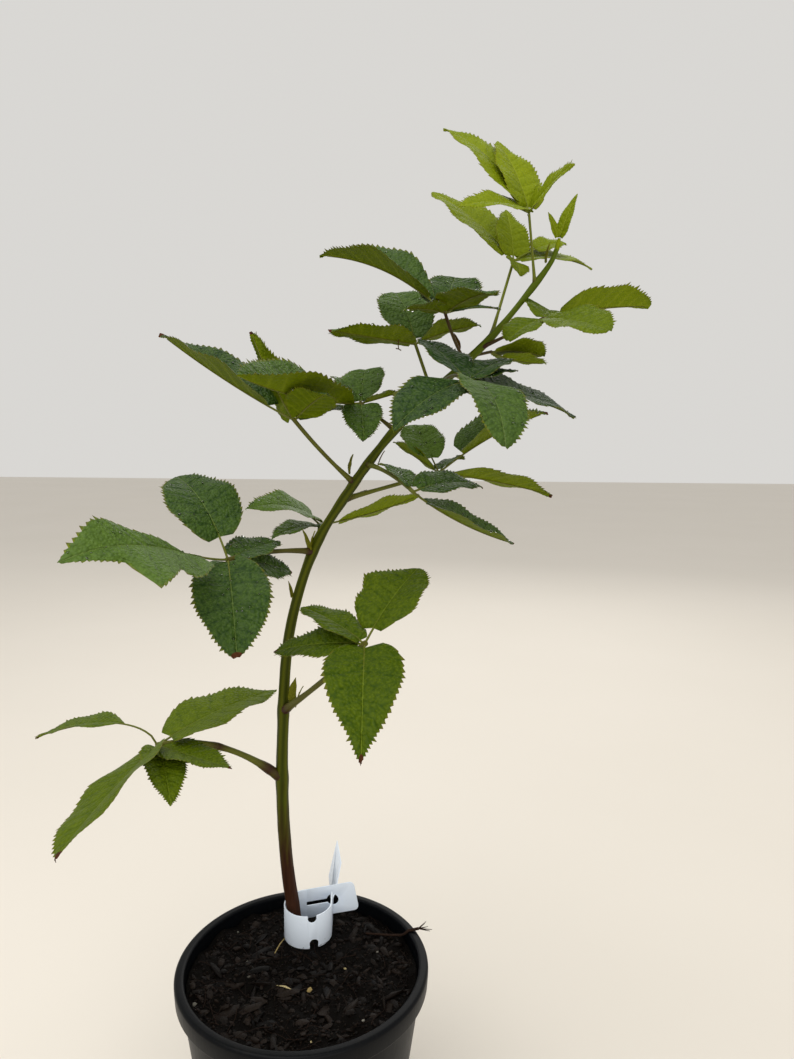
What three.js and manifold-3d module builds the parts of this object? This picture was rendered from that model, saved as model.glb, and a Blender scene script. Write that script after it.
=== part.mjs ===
// Young bramble in a nursery pot: one arching cane with fifteen compound leaves and a growing tip.
// Millimetres, +Z up. The origin is the centre of the pot's flat underside, and +Y runs to the back.
import * as THREE from 'three';
import { mergeVertices } from 'three/addons/utils/BufferGeometryUtils.js';
import Module from 'manifold-3d';

const wasm = await Module();
wasm.setup();

// Pot: a 140 mm nursery pot with a rolled rim.
const POT_HEIGHT = 122;
const RIM_RADIUS = 70;
const RIM_MOUTH_RADIUS = 64.5;
const RIM_BAND_HEIGHT = 11;
const RIM_ROLL = 2.2;
const RIM_MOUTH_ROLL = 1.4;
const EDGE = 0.6;
const FOOT_BEVEL = 1;
const MOUTH_TAPER = 0.5;
const WALL_TOP_RADIUS = 66;
const BASE_RADIUS = 51;
const WALL = 1.6;
const FLOOR = 2;
const DRAIN_HOLES = 8;
const DRAIN_RADIUS = 4;
const DRAIN_CIRCLE_RADIUS = 40;
const DRAIN_SIDES = 10;
const POT_SIDES = 48;

// Potting mix, level with the foot of the cane.
const SOIL_LEVEL = 116;
const SOIL_GAP = 0.3;
const SOIL_SWELL = 2.2;
const SOIL_FLAT_RADIUS = 22;
const SOIL_SIDES = 32;
const SOIL_RINGS = 6;

// Cane.
const CANE_FOOT_RADIUS = 4.1;
const CANE_TIP_RADIUS = 1.2;
const CANE_FLARE = 0.3;
const CANE_FLARE_HEIGHT = 7;
const CANE_SIDES = 12;
const CANE_STEPS = 52;
const JOINT_SWELL = 0.45;
const JOINT_HALF_LENGTH = 6;
const CLEAR = 0.3;

// Leaf stalks and leaflets.
const STALK_SHARE = 0.48;
const STALK_FOOT_SHARE = 0.75;
const STALK_SIDES = 5;
const STALK_STEPS = 6;
const LEAFLET_STEPS = 9;
const NECK_HALF_WIDTH = 0.8;
const MIDRIB_THICKNESS = 1.5;
const USUAL_FOLD = 12;
const TOOTH = 0.07;
const BLUNT_TIP = 0.03;
const RING_CROWDING = 1.3;

// Blank loop label round the foot of the cane: a strip whose tail runs through a keyhole in its tab.
const LABEL_CENTRE = new THREE.Vector3(-0.85, 32, SOIL_LEVEL + CLEAR);
const LABEL_INNER_RADIUS = 13.5;
const LABEL_THICKNESS = 0.7;
const LABEL_WIDTH = 20;
const BAND_FROM = THREE.MathUtils.degToRad(100);
const BAND_TO = THREE.MathUtils.degToRad(360);
const NOTCH_RADIUS = 2.6;
const NOTCH_SIDES = 12;
const TOP_NOTCH_X = 3;
const FOOT_NOTCH_X = 4;
const TAB_LEFT = -8;
const TAB_RIGHT = 27.8;
const TAB_INSET = 0.8;
const TAB_CORNER = 3;
const TAB_MIDDLE_HEIGHT = 127.5;
const TAB_TILT = THREE.MathUtils.degToRad(11);
const KEYHOLE_X = 13;
const KEYHOLE_RADIUS = 3.6;
const SLOT_END = -4;
const SLOT_HALF_WIDTH = 1.3;
const TAIL_SHOULDER = 12;
const TAIL_NECK_FROM = 16;
const TAIL_NECK_TO = 22;
const TAIL_NECK_HALF_WIDTH = 2.4;
const TAIL_BARB = 46;
const TAIL_BARB_HALF_WIDTH = 6.5;
const TAIL_LENGTH = 76;
const TAIL_LIFT = THREE.MathUtils.degToRad(7);
const TAIL_HEADING = THREE.MathUtils.degToRad(91.5);
const TAIL_TWIST = THREE.MathUtils.degToRad(38);

// The middle of the cane, from the cut at the soil to the tip.
const canePath = new THREE.CatmullRomCurve3([
  new THREE.Vector3(-8, 32, SOIL_LEVEL),
  new THREE.Vector3(-9.6, 31.8, 132),
  new THREE.Vector3(-13, 31, 160),
  new THREE.Vector3(-15, 29, 200),
  new THREE.Vector3(-14, 26, 245),
  new THREE.Vector3(-9, 22, 305),
  new THREE.Vector3(5, 17, 352),
  new THREE.Vector3(20, 13, 378),
  new THREE.Vector3(46, 8, 414),
  new THREE.Vector3(72, 5, 440),
  new THREE.Vector3(97, 2, 464),
  new THREE.Vector3(116, 0, 487),
  new THREE.Vector3(126, -1, 501),
  new THREE.Vector3(128.5, -1, 507),
]);

// One leaflet: heading turns from +X towards +Y, rise is above level, roll tips the blade about
// its midrib to the right as seen from the stalk, all in degrees. The shape may give the length of
// the bare neck, the bow of the midrib as a share of the length and how near the stalk it crests
// (below 1 is nearer), the place of the widest part as a share of the blade, how pointed it is, and
// how steeply its halves are folded up along the midrib.
function leaflet(heading, rise, length, width, roll, shape = {}) {
  const usual = { neck: 3, bow: 0.05, crest: 1, widest: 0.3, point: 1, fold: USUAL_FOLD };
  return { heading, rise, length, width, roll, ...usual, ...shape };
}

// Each leaf: the height where it leaves the cane, its stalk, and its leaflets.
const LEAVES = [
  {
    name: 'leaf_left_low',
    height: 216,
    stalk: { heading: -152, rise: 25, length: 78, bow: 9 },
    leaflets: [
      leaflet(168, -2, 74, 26, 2, { neck: 22, bow: 0.15, crest: 0.65, widest: 0.45 }),
      leaflet(-104, -12, 87, 40, 30, { bow: 0.02, widest: 0.38, point: 0.8 }),
      leaflet(-66, -17, 47, 23, -12),
      leaflet(-27, -3, 50, 26, -2, { bow: 0 }),
      leaflet(39, 12, 75, 40, 2, { neck: 8, widest: 0.34, point: 0.9 }),
    ],
  },
  {
    name: 'leaf_right_low',
    height: 258,
    stalk: { heading: -51, rise: 36, length: 96, bow: -1.5 },
    leaflets: [
      leaflet(-89, -32, 68, 37, 0, { widest: 0.27, point: 1.25 }),
      leaflet(50, 38, 52, 36, 2, { neck: 9, widest: 0.45, point: 0.6 }),
      leaflet(158, -11, 52, 22, -28, { point: 0.8 }),
      leaflet(143, 16, 44, 22, -4, { widest: 0.4, point: 0.8 }),
    ],
  },
  {
    name: 'leaf_left_middle',
    height: 351,
    stalk: { heading: -132, rise: 2, length: 57, bow: 2 },
    leaflets: [
      leaflet(136, 40, 60, 37, -12, { neck: 11, bow: 0.14, widest: 0.42, point: 0.7 }),
      leaflet(-122, 7, 94, 38, -38, { neck: 11, bow: 0.1, widest: 0.55, point: 0.6 }),
      leaflet(-74, -38, 59, 36, 0, { neck: 2, widest: 0.38, point: 0.75 }),
      leaflet(51, -16, 45, 25, 40),
      leaflet(55, 7, 38, 21, 18),
    ],
  },
  {
    name: 'leaf_back_middle',
    height: 358,
    stalk: { heading: 94, rise: 9, length: 29, bow: 0 },
    leaflets: [
      leaflet(-139, 14, 50, 30, -22, { neck: 6, bow: 0.14 }),
      leaflet(-128, -6, 38, 22, -4),
      leaflet(18, 15, 63, 26, -27, { neck: 12, bow: -0.03, widest: 0.5 }),
    ],
  },
  {
    name: 'leaf_right_middle_back',
    height: 380,
    stalk: { heading: 20, rise: 14, length: 58, bow: 0 },
    leaflets: [
      leaflet(15, -11, 71, 31, -14, { neck: 7, bow: 0.02, widest: 0.4 }),
      leaflet(136, 25, 39, 19, 38, { bow: 0 }),
      leaflet(51, 15, 26, 15, -14, { bow: 0.12 }),
      leaflet(106, 46, 38, 26, -8, { neck: 9, widest: 0.46, point: 0.55 }),
      leaflet(7, 29, 70, 32, 8, { neck: 17, widest: 0.32, fold: 34 }),
    ],
  },
  {
    name: 'leaf_right_middle_front',
    height: 399,
    stalk: { heading: -59, rise: -14, length: 48, bow: 2 },
    leaflets: [
      leaflet(30, -25, 69, 26, 20, { neck: 10, bow: -0.04, widest: 0.45, fold: 24 }),
      leaflet(128, 23, 31, 18, 10, { bow: 0.1 }),
      leaflet(29, 1, 41, 22, 22, { bow: 0.1 }),
    ],
  },
  {
    name: 'leaf_left_high',
    height: 389,
    stalk: { heading: -146, rise: 43, length: 49, bow: -1.5 },
    leaflets: [
      leaflet(161, 30, 90, 40, 0, { neck: 16, bow: -0.02, fold: 30 }),
      leaflet(142, 56, 55, 24, 72, { bow: -0.03 }),
      leaflet(-56, 20, 36, 24, -20, { bow: 0.04, widest: 0.45 }),
      leaflet(65, 11, 45, 26, 12, { widest: 0.45 }),
    ],
  },
  {
    name: 'leaf_small_left',
    height: 417,
    stalk: { heading: 151, rise: 34, length: 26, bow: 0 },
    leaflets: [
      leaflet(-84, -36, 33, 21, 0, { neck: 2, point: 0.8 }),
      leaflet(85, 45, 27, 24, -8, { neck: 2, widest: 0.58, point: 0.35 }),
      leaflet(130, 35, 25, 20, 6, { neck: 2, widest: 0.55, point: 0.4 }),
      leaflet(35, 15, 28, 16, -16, { neck: 2, bow: 0 }),
      leaflet(-130, 7, 84, 32, -16, { neck: 8, bow: -0.04, widest: 0.5, fold: 42 }),
    ],
  },
  {
    name: 'leaf_inner_left',
    height: 436,
    stalk: { heading: 119, rise: 56, length: 33, bow: 0 },
    leaflets: [
      leaflet(-141, 3, 56, 26, 14, { bow: 0, widest: 0.4 }),
      leaflet(-3, 16, 36, 28, -10, { widest: 0.45 }),
      leaflet(112, 47, 42, 30, -10, { bow: 0.1, widest: 0.5, point: 0.5 }),
    ],
  },
  {
    name: 'leaf_front',
    height: 440,
    stalk: { heading: -78, rise: -1, length: 48, bow: 4 },
    leaflets: [
      leaflet(125, 31, 43, 25, 2, { widest: 0.4 }),
      leaflet(-134, -25, 53, 31, -14, { bow: 0.08, widest: 0.42 }),
      leaflet(-76, -30, 57, 30, -12, { bow: 0.14, widest: 0.45, point: 0.7 }),
      leaflet(33, -12, 72, 32, 26, { neck: 6, bow: 0.03, widest: 0.4 }),
      leaflet(47, 20, 36, 21, 6, { widest: 0.4 }),
      leaflet(38, 11, 34, 16, 12),
    ],
  },
  {
    name: 'leaf_high_left',
    height: 452,
    stalk: { heading: -129, rise: 50, length: 30, bow: -2.5 },
    leaflets: [
      leaflet(160, 25, 75, 29, -12, { neck: 11, bow: 0.09, widest: 0.42, point: 1.1, fold: 36 }),
      leaflet(78, 35, 40, 31, 4, { widest: 0.45, point: 0.7 }),
      leaflet(-62, 6, 42, 27, 0, { widest: 0.4 }),
      leaflet(-142, -1, 26, 18, 8),
      leaflet(21, 7, 31, 8, 20, { bow: 0.06 }),
    ],
  },
  {
    name: 'leaf_inner_right',
    height: 455,
    stalk: { heading: 33, rise: 13, length: 13, bow: 0 },
    leaflets: [
      leaflet(35, 0, 38, 22, -20, { widest: 0.5, point: 0.6 }),
      leaflet(35, -5, 41, 18, -8, { neck: 8, bow: -0.04 }),
    ],
  },
  {
    name: 'leaf_right_high',
    height: 459,
    stalk: { heading: -31, rise: 21, length: 36, bow: 0 },
    leaflets: [
      leaflet(25, 9, 68, 26, -20, { neck: 10, bow: 0.03, widest: 0.42, point: 0.6, fold: 25 }),
      leaflet(-50, -13, 40, 28, 24, { neck: 2, widest: 0.5, point: 0.6 }),
      leaflet(-138, -26, 28, 20, -10, { neck: 2, widest: 0.45, point: 0.7 }),
      leaflet(72, 16, 27, 26, 20, { neck: 2, widest: 0.5, point: 0.6 }),
    ],
  },
  {
    name: 'leaf_high_back',
    height: 464,
    stalk: { heading: 61, rise: 56, length: 53, bow: 0 },
    leaflets: [
      leaflet(142, 39, 70, 30, -16, { neck: 6, widest: 0.35 }),
      leaflet(98, 59, 36, 20, 12),
      leaflet(23, 0, 51, 22, 26, { bow: 0.08 }),
      leaflet(20, 20, 34, 17, 30, { neck: 14, bow: 0.08 }),
      leaflet(-86, -33, 20, 14, -25, { neck: 2 }),
    ],
  },
  {
    name: 'leaf_top',
    height: 490,
    stalk: { heading: -124, rise: 74, length: 35, bow: 0 },
    leaflets: [
      leaflet(143, 44, 71, 27, -18, { neck: 6, bow: 0.08 }),
      leaflet(124, 58, 47, 27, 0, { widest: 0.35 }),
      leaflet(-71, 15, 42, 15, 62, { bow: 0.03 }),
      leaflet(-148, -5, 43, 21, -32, { bow: 0.08 }),
      leaflet(59, 57, 19, 11, -28),
    ],
  },
];

// The two folded young leaflets of the growing tip, and the run of their sheath.
const TIP_LEAFLETS = [
  leaflet(-10, 70, 25, 7, 60),
  leaflet(180, 70, 16, 5, -60),
];
const TIP_SHEATH_RUN = new THREE.Vector3(1, 0, 5);
const TIP_SHEATH_SIDES = 6;

// Turns a heading and a rise, both in degrees, into a direction.
function direction(heading, rise) {
  const turn = THREE.MathUtils.degToRad(heading);
  const lift = THREE.MathUtils.degToRad(rise);
  return new THREE.Vector3(
    Math.cos(lift) * Math.cos(turn),
    Math.cos(lift) * Math.sin(turn),
    Math.sin(lift),
  );
}

// A closed geometry as a solid that can be joined and cut.
function solidOf(geometry) {
  geometry.deleteAttribute('normal');
  geometry.deleteAttribute('uv');
  const merged = mergeVertices(geometry, 1e-4);
  return new wasm.Manifold(new wasm.Mesh({
    numProp: 3,
    vertProperties: merged.attributes.position.array,
    triVerts: new Uint32Array(merged.index.array),
  }));
}

// A solid back as a geometry.
function geometryOf(solid) {
  const mesh = solid.getMesh();
  const geometry = new THREE.BufferGeometry();
  geometry.setAttribute('position', new THREE.BufferAttribute(mesh.vertProperties, 3));
  geometry.setIndex(new THREE.BufferAttribute(mesh.triVerts, 1));
  return geometry;
}

// Solids fused into one.
function join(solids) {
  return solids.reduce((whole, solid) => whole.add(solid));
}

// The main body of a solid. A hollow that fusing seals is filled, and a loose scrap is dropped.
function mainBody(solid) {
  return solid.decompose().reduce((main, piece) => (piece.volume() > main.volume() ? piece : main));
}

// A closed sleeve of rings: ringAt(t) gives the place of a point of the unit circle at t from 0 to 1.
function sleeve(sides, steps, ringAt) {
  const geometry = new THREE.CylinderGeometry(1, 1, 1, sides, steps);
  const spots = geometry.attributes.position;
  for (let i = 0; i < spots.count; i += 1) {
    const t = Math.round((spots.getY(i) + 0.5) * steps) / steps;
    const place = ringAt(t, spots.getX(i), spots.getZ(i));
    spots.setXYZ(i, place.x, place.y, place.z);
  }
  return geometry;
}

function caneTaper(t) {
  return THREE.MathUtils.lerp(CANE_FOOT_RADIUS, CANE_TIP_RADIUS, t);
}

// The cane's thickness: an even taper with a slight flare at the cut and a swelling at each leaf.
function caneRadius(t, height) {
  const flare = CANE_FLARE * Math.exp((SOIL_LEVEL - height) / CANE_FLARE_HEIGHT);
  const swelling = LEAVES.reduce((most, leaf) => {
    const away = (height - leaf.height) / JOINT_HALF_LENGTH;
    return Math.max(most, JOINT_SWELL * Math.exp(-away * away));
  }, 0);
  return caneTaper(t) + flare + swelling;
}

// A round limb along a path, whose rings stand square to it and whose first ring may be level.
function limb(path, sides, steps, radiusAt, levelFoot) {
  return sleeve(sides, steps, (t, x, z) => {
    const centre = path.getPointAt(t);
    const along = levelFoot && t === 0 ? new THREE.Vector3(0, 0, 1) : path.getTangentAt(t);
    const sideways = Math.abs(along.y) < 0.8 ? new THREE.Vector3(0, 1, 0) : new THREE.Vector3(1, 0, 0);
    const across = new THREE.Vector3().crossVectors(along, sideways).normalize();
    const up = new THREE.Vector3().crossVectors(across, along);
    const radius = radiusAt(t, centre.z);
    return centre.addScaledVector(across, x * radius).addScaledVector(up, z * radius);
  });
}

// The share of the cane's length that lies below a height.
function caneStation(height) {
  let low = 0;
  let high = 1;
  for (let i = 0; i < 30; i += 1) {
    const middle = (low + high) / 2;
    if (canePath.getPointAt(middle).z < height) low = middle;
    else high = middle;
  }
  return low;
}

// Half the width of a pointed oval blade, as a share of its greatest half width.
function bladeShare(s, widest, point) {
  const round = (point * widest) / (1 - widest);
  const oval = (s / widest) ** round * ((1 - s) / (1 - widest)) ** point;
  return Math.max(oval, BLUNT_TIP);
}

// One leaflet: a neck that widens into a toothed, folded blade, bowed along its midrib.
function leafletSolid(root, plan) {
  const along = direction(plan.heading, plan.rise);
  const normal = new THREE.Vector3(0, 0, 1).addScaledVector(along, -along.z).normalize();
  normal.applyAxisAngle(along, THREE.MathUtils.degToRad(plan.roll));
  const across = new THREE.Vector3().crossVectors(along, normal);
  const ringAt = (t, x, z) => {
    const step = Math.round(t * LEAFLET_STEPS);
    const s = Math.max((step - 1) / (LEAFLET_STEPS - 1), 0) ** RING_CROWDING;
    const reach = step === 0 ? 0 : THREE.MathUtils.lerp(plan.neck / plan.length, 1, s);
    const tooth = step % 2 === 0 ? 1 + TOOTH : 1 - TOOTH;
    const blade = 0.5 * plan.width * bladeShare(s, plan.widest, plan.point) * tooth;
    const half = step <= 1 ? NECK_HALF_WIDTH : blade;
    const up = reach ** plan.crest;
    const bow = 4 * plan.bow * plan.length * up * (1 - up);
    const fold = Math.abs(x) * half * Math.tan(THREE.MathUtils.degToRad(plan.fold));
    return root.clone()
      .addScaledVector(along, reach * plan.length)
      .addScaledVector(across, x * half)
      .addScaledVector(normal, bow + fold + 0.5 * MIDRIB_THICKNESS * z);
  };
  return solidOf(sleeve(4, LEAFLET_STEPS, ringAt));
}

const caneGeometry = limb(canePath, CANE_SIDES, CANE_STEPS, caneRadius, true);
const caneRoom = solidOf(
  limb(canePath, CANE_SIDES, CANE_STEPS, (t, height) => caneRadius(t, height) + CLEAR, true),
);

// One compound leaf: its stalk from the cane, and its leaflets, cut clear of the cane.
function leafSolid(leaf) {
  const station = caneStation(leaf.height);
  const start = canePath.getPointAt(station);
  const { heading, rise, length, bow } = leaf.stalk;
  const hub = start.clone().addScaledVector(direction(heading, rise), length);
  const bend = start.clone().lerp(hub, 0.5);
  bend.z += 2 * bow;
  const path = new THREE.QuadraticBezierCurve3(start, bend, hub);
  const share = (t) => THREE.MathUtils.lerp(STALK_FOOT_SHARE, STALK_SHARE, Math.min(3 * t, 1));
  const thin = (t) => caneTaper(station) * share(t);
  const stalk = solidOf(limb(path, STALK_SIDES, STALK_STEPS, thin, false));
  const sunk = hub.clone().addScaledVector(path.getTangentAt(1), -1);
  const leaflets = leaf.leaflets.map((plan) => leafletSolid(sunk, plan));
  return mainBody(join([stalk, ...leaflets]).subtract(caneRoom));
}

// The growing tip: a sheath and two folded young leaflets above the end of the cane.
function tipSolid() {
  const root = canePath.getPointAt(1).addScaledVector(canePath.getTangentAt(1), CLEAR);
  const path = new THREE.LineCurve3(root, root.clone().add(TIP_SHEATH_RUN));
  const sheath = solidOf(limb(path, TIP_SHEATH_SIDES, 2, () => CANE_TIP_RADIUS, false));
  const young = TIP_LEAFLETS.map((plan) => leafletSolid(path.getPointAt(0.5), plan));
  return mainBody(join([sheath, ...young]));
}

// A ring profile turned round the pot's axis: each pair is a radius and a height.
function turned(pairs, sides) {
  const profile = pairs.map(([radius, height]) => new THREE.Vector2(radius, height));
  return new THREE.LatheGeometry(profile, sides).rotateX(Math.PI / 2);
}

// The pot: a thin tapered wall with a deeper band under its rolled rim, and drain holes in its floor.
function potSolid() {
  const bandFoot = POT_HEIGHT - RIM_BAND_HEIGHT;
  const shell = turned([
    [0, 0],
    [BASE_RADIUS - FOOT_BEVEL, 0],
    [BASE_RADIUS, FOOT_BEVEL],
    [WALL_TOP_RADIUS, bandFoot],
    [RIM_RADIUS - EDGE, bandFoot + EDGE],
    [RIM_RADIUS, POT_HEIGHT - RIM_ROLL],
    [RIM_RADIUS - EDGE, POT_HEIGHT - EDGE],
    [RIM_RADIUS - RIM_ROLL, POT_HEIGHT],
    [RIM_MOUTH_RADIUS + RIM_MOUTH_ROLL, POT_HEIGHT - EDGE / 2],
    [RIM_MOUTH_RADIUS, POT_HEIGHT - RIM_ROLL],
    [RIM_MOUTH_RADIUS - MOUTH_TAPER, bandFoot],
    [BASE_RADIUS - WALL, FLOOR],
    [0, FLOOR],
  ], POT_SIDES);
  let pot = solidOf(shell);
  for (let i = 0; i < DRAIN_HOLES; i += 1) {
    const turn = (2 * Math.PI * i) / DRAIN_HOLES;
    const hole = new THREE.CylinderGeometry(DRAIN_RADIUS, DRAIN_RADIUS, 3 * FLOOR, DRAIN_SIDES);
    hole.rotateX(Math.PI / 2);
    hole.translate(DRAIN_CIRCLE_RADIUS * Math.cos(turn), DRAIN_CIRCLE_RADIUS * Math.sin(turn), 0);
    pot = pot.subtract(solidOf(hole));
  }
  return pot;
}

// Height of the lumps in the potting mix, level round the foot of the cane.
function soilLump(x, y) {
  const away = Math.hypot(x - LABEL_CENTRE.x, y - LABEL_CENTRE.y) - SOIL_FLAT_RADIUS;
  const share = THREE.MathUtils.clamp(away / SOIL_FLAT_RADIUS, 0, 1);
  const waves = Math.sin(0.21 * x + 1.3) * Math.cos(0.17 * y - 0.4) + 0.6 * Math.sin(0.13 * (x + 2 * y));
  return share * SOIL_SWELL * (0.6 * waves - 0.3);
}

// The potting mix: it fills the pot from the floor to its lumpy top, clear of the wall.
function soilSolid() {
  const foot = BASE_RADIUS - WALL - SOIL_GAP;
  const bandFoot = POT_HEIGHT - RIM_BAND_HEIGHT;
  const edge = RIM_MOUTH_RADIUS - MOUTH_TAPER - SOIL_GAP;
  const rings = Array.from({ length: SOIL_RINGS }, (_, i) => [edge * (1 - i / SOIL_RINGS), SOIL_LEVEL]);
  const geometry = turned([
    [0, FLOOR + SOIL_GAP],
    [foot, FLOOR + SOIL_GAP],
    [edge, bandFoot],
    ...rings,
    [0, SOIL_LEVEL],
  ], SOIL_SIDES);
  const spots = geometry.attributes.position;
  for (let i = 0; i < spots.count; i += 1) {
    const isTop = spots.getZ(i) > bandFoot + 1;
    if (isTop) spots.setZ(i, SOIL_LEVEL + soilLump(spots.getX(i), spots.getY(i)));
  }
  return solidOf(geometry);
}

// The label's strip round the cane, open at the back where its tab closes it.
function labelBand() {
  const plan = new THREE.Shape();
  plan.absarc(0, 0, LABEL_INNER_RADIUS + LABEL_THICKNESS, BAND_FROM, BAND_TO, false);
  plan.absarc(0, 0, LABEL_INNER_RADIUS, BAND_TO, BAND_FROM, true);
  plan.closePath();
  const strip = new THREE.ExtrudeGeometry(plan, {
    depth: LABEL_WIDTH, bevelEnabled: false, curveSegments: 20,
  });
  strip.translate(LABEL_CENTRE.x, LABEL_CENTRE.y, LABEL_CENTRE.z);
  const notches = [
    [TOP_NOTCH_X, LABEL_CENTRE.z + LABEL_WIDTH],
    [FOOT_NOTCH_X, LABEL_CENTRE.z],
  ];
  return notches.reduce((band, [x, z]) => {
    const notch = new THREE.CylinderGeometry(NOTCH_RADIUS, NOTCH_RADIUS, LABEL_INNER_RADIUS, NOTCH_SIDES);
    notch.translate(x, LABEL_CENTRE.y - LABEL_INNER_RADIUS, z);
    return band.subtract(solidOf(notch));
  }, solidOf(strip));
}

// The tab behind the cane, with its keyhole, tilted up to the right.
function labelTab() {
  const half = LABEL_WIDTH / 2 - TAB_INSET;
  const turn = TAB_RIGHT - TAB_CORNER;
  const plan = new THREE.Shape();
  plan.moveTo(TAB_LEFT, -half);
  plan.lineTo(turn, -half);
  plan.absarc(turn, -half + TAB_CORNER, TAB_CORNER, -Math.PI / 2, 0, false);
  plan.absarc(turn, half - TAB_CORNER, TAB_CORNER, 0, Math.PI / 2, false);
  plan.lineTo(TAB_LEFT, half);
  plan.closePath();
  const opening = Math.PI - Math.asin(SLOT_HALF_WIDTH / KEYHOLE_RADIUS);
  const keyhole = new THREE.Path();
  keyhole.absarc(KEYHOLE_X, 0, KEYHOLE_RADIUS, -opening, opening, false);
  keyhole.lineTo(SLOT_END, SLOT_HALF_WIDTH);
  keyhole.lineTo(SLOT_END, -SLOT_HALF_WIDTH);
  keyhole.closePath();
  plan.holes.push(keyhole);
  const tab = new THREE.ExtrudeGeometry(plan, {
    depth: LABEL_THICKNESS, bevelEnabled: false, curveSegments: 8,
  });
  tab.rotateX(Math.PI / 2);
  tab.rotateY(-TAB_TILT);
  tab.translate(0, LABEL_CENTRE.y + LABEL_INNER_RADIUS + LABEL_THICKNESS, TAB_MIDDLE_HEIGHT);
  return solidOf(tab);
}

// Turns the part of the tail behind its neck about the tail's own length.
function twistTail(tail) {
  const spots = tail.attributes.position;
  for (let i = 0; i < spots.count; i += 1) {
    const spot = new THREE.Vector3().fromBufferAttribute(spots, i);
    if (spot.x >= TAIL_NECK_TO) spot.applyAxisAngle(new THREE.Vector3(1, 0, 0), TAIL_TWIST);
    spots.setXYZ(i, spot.x, spot.y, spot.z);
  }
}

// The pointed tail, from the band's right side through the keyhole and out over the rim.
function labelTail() {
  const half = LABEL_WIDTH / 2;
  const edge = [
    [TAIL_SHOULDER, half],
    [TAIL_NECK_FROM, TAIL_NECK_HALF_WIDTH],
    [TAIL_NECK_TO, TAIL_NECK_HALF_WIDTH],
    [TAIL_BARB, TAIL_BARB_HALF_WIDTH],
  ];
  const plan = new THREE.Shape();
  plan.moveTo(0, -half);
  edge.forEach(([x, y]) => plan.lineTo(x, -y));
  plan.lineTo(TAIL_LENGTH, 0);
  edge.reverse().forEach(([x, y]) => plan.lineTo(x, y));
  plan.lineTo(0, half);
  plan.closePath();
  const tail = new THREE.ExtrudeGeometry(plan, { depth: LABEL_THICKNESS, bevelEnabled: false });
  twistTail(tail);
  tail.rotateX(Math.PI / 2);
  tail.rotateY(-TAIL_LIFT);
  tail.rotateZ(TAIL_HEADING);
  tail.translate(LABEL_CENTRE.x + LABEL_INNER_RADIUS, LABEL_CENTRE.y - 1, SOIL_LEVEL + half);
  return solidOf(tail);
}

const plant = new THREE.Group();

function addPiece(name, geometry, colour, roughness) {
  const material = new THREE.MeshStandardMaterial({ color: colour, roughness, metalness: 0 });
  const mesh = new THREE.Mesh(geometry, material);
  mesh.name = name;
  plant.add(mesh);
}

addPiece('pot', geometryOf(potSolid()), '#2c2e31', 0.5);
addPiece('potting_mix', geometryOf(soilSolid()), '#251d18', 0.95);
addPiece('cane', geometryOf(solidOf(caneGeometry)), '#4a6420', 0.55);
addPiece('plant_label', geometryOf(mainBody(join([labelBand(), labelTab(), labelTail()]))), '#d8deea', 0.45);
for (const leaf of LEAVES) {
  addPiece(leaf.name, geometryOf(leafSolid(leaf)), '#3c6a2c', 0.5);
}
addPiece('shoot_tip', geometryOf(tipSolid()), '#7aa52e', 0.5);

export default plant;
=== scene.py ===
import math

import bpy
import numpy as np
from mathutils import Matrix, Vector, noise


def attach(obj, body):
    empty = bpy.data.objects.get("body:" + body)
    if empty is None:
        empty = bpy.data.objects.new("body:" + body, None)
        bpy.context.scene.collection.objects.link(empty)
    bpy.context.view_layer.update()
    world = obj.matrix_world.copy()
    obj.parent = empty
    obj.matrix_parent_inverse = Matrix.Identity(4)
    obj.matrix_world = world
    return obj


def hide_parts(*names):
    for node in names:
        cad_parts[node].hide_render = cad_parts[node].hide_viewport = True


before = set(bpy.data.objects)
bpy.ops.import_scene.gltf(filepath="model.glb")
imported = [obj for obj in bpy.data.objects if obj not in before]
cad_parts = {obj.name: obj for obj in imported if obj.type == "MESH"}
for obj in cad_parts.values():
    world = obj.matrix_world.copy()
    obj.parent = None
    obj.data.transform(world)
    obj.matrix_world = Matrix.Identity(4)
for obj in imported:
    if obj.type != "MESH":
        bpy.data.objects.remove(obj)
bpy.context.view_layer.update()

# Studio. A pale matt table top in soft daylight from above, from in front and from behind. The camera
# stands where the photograph was taken: 41 cm in front of the pot's middle, as high as the middle of
# the crown, and tipped slightly down.
PHOTO_HEIGHT_PX = 1059
FOCAL_LENGTH_PX = 796
SENSOR_HEIGHT_MM = 36.0
CAMERA_PLACE = (0.0503, -0.4116, 0.4181)
CAMERA_PITCH = math.radians(7.26)
CAMERA_ROLL = math.radians(0.52)
TABLE_SIZE = 12.0
TABLE_TINTS = ("#ded8ce", "#e3ddd4")
TABLE_MOTTLE_WIDTH = 1 / 3
SKY_COLOUR = "#fbf9f5"
SKY_STRENGTH = 0.72


def linear(code):
    """An sRGB hex colour as linear red, green, blue and alpha."""
    channels = [int(code[i:i + 2], 16) / 255 for i in (1, 3, 5)]
    curve = [c / 12.92 if c <= 0.04045 else ((c + 0.055) / 1.055) ** 2.4 for c in channels]
    return (*curve, 1.0)


def add_node(tree, kind, inputs=None, output=0, **settings):
    """Adds a shader node, with its settings, and with each input set to a value or linked to a
    socket, and gives one of its outputs."""
    node = tree.nodes.new("ShaderNode" + kind)
    for name, value in settings.items():
        setattr(node, name, value)
    for key, value in (inputs or {}).items():
        if isinstance(value, bpy.types.NodeSocket):
            tree.links.new(value, node.inputs[key])
        else:
            node.inputs[key].default_value = value
    return node.outputs[output]


def start_material(name, **sockets):
    """A material with its Principled shader and the constant values on the shader's own sockets."""
    material = bpy.data.materials.new(name)
    material.use_nodes = True
    shader = material.node_tree.nodes["Principled BSDF"]
    for key, value in sockets.items():
        shader.inputs[key.replace("_", " ")].default_value = value
    return material, material.node_tree, shader


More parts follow.
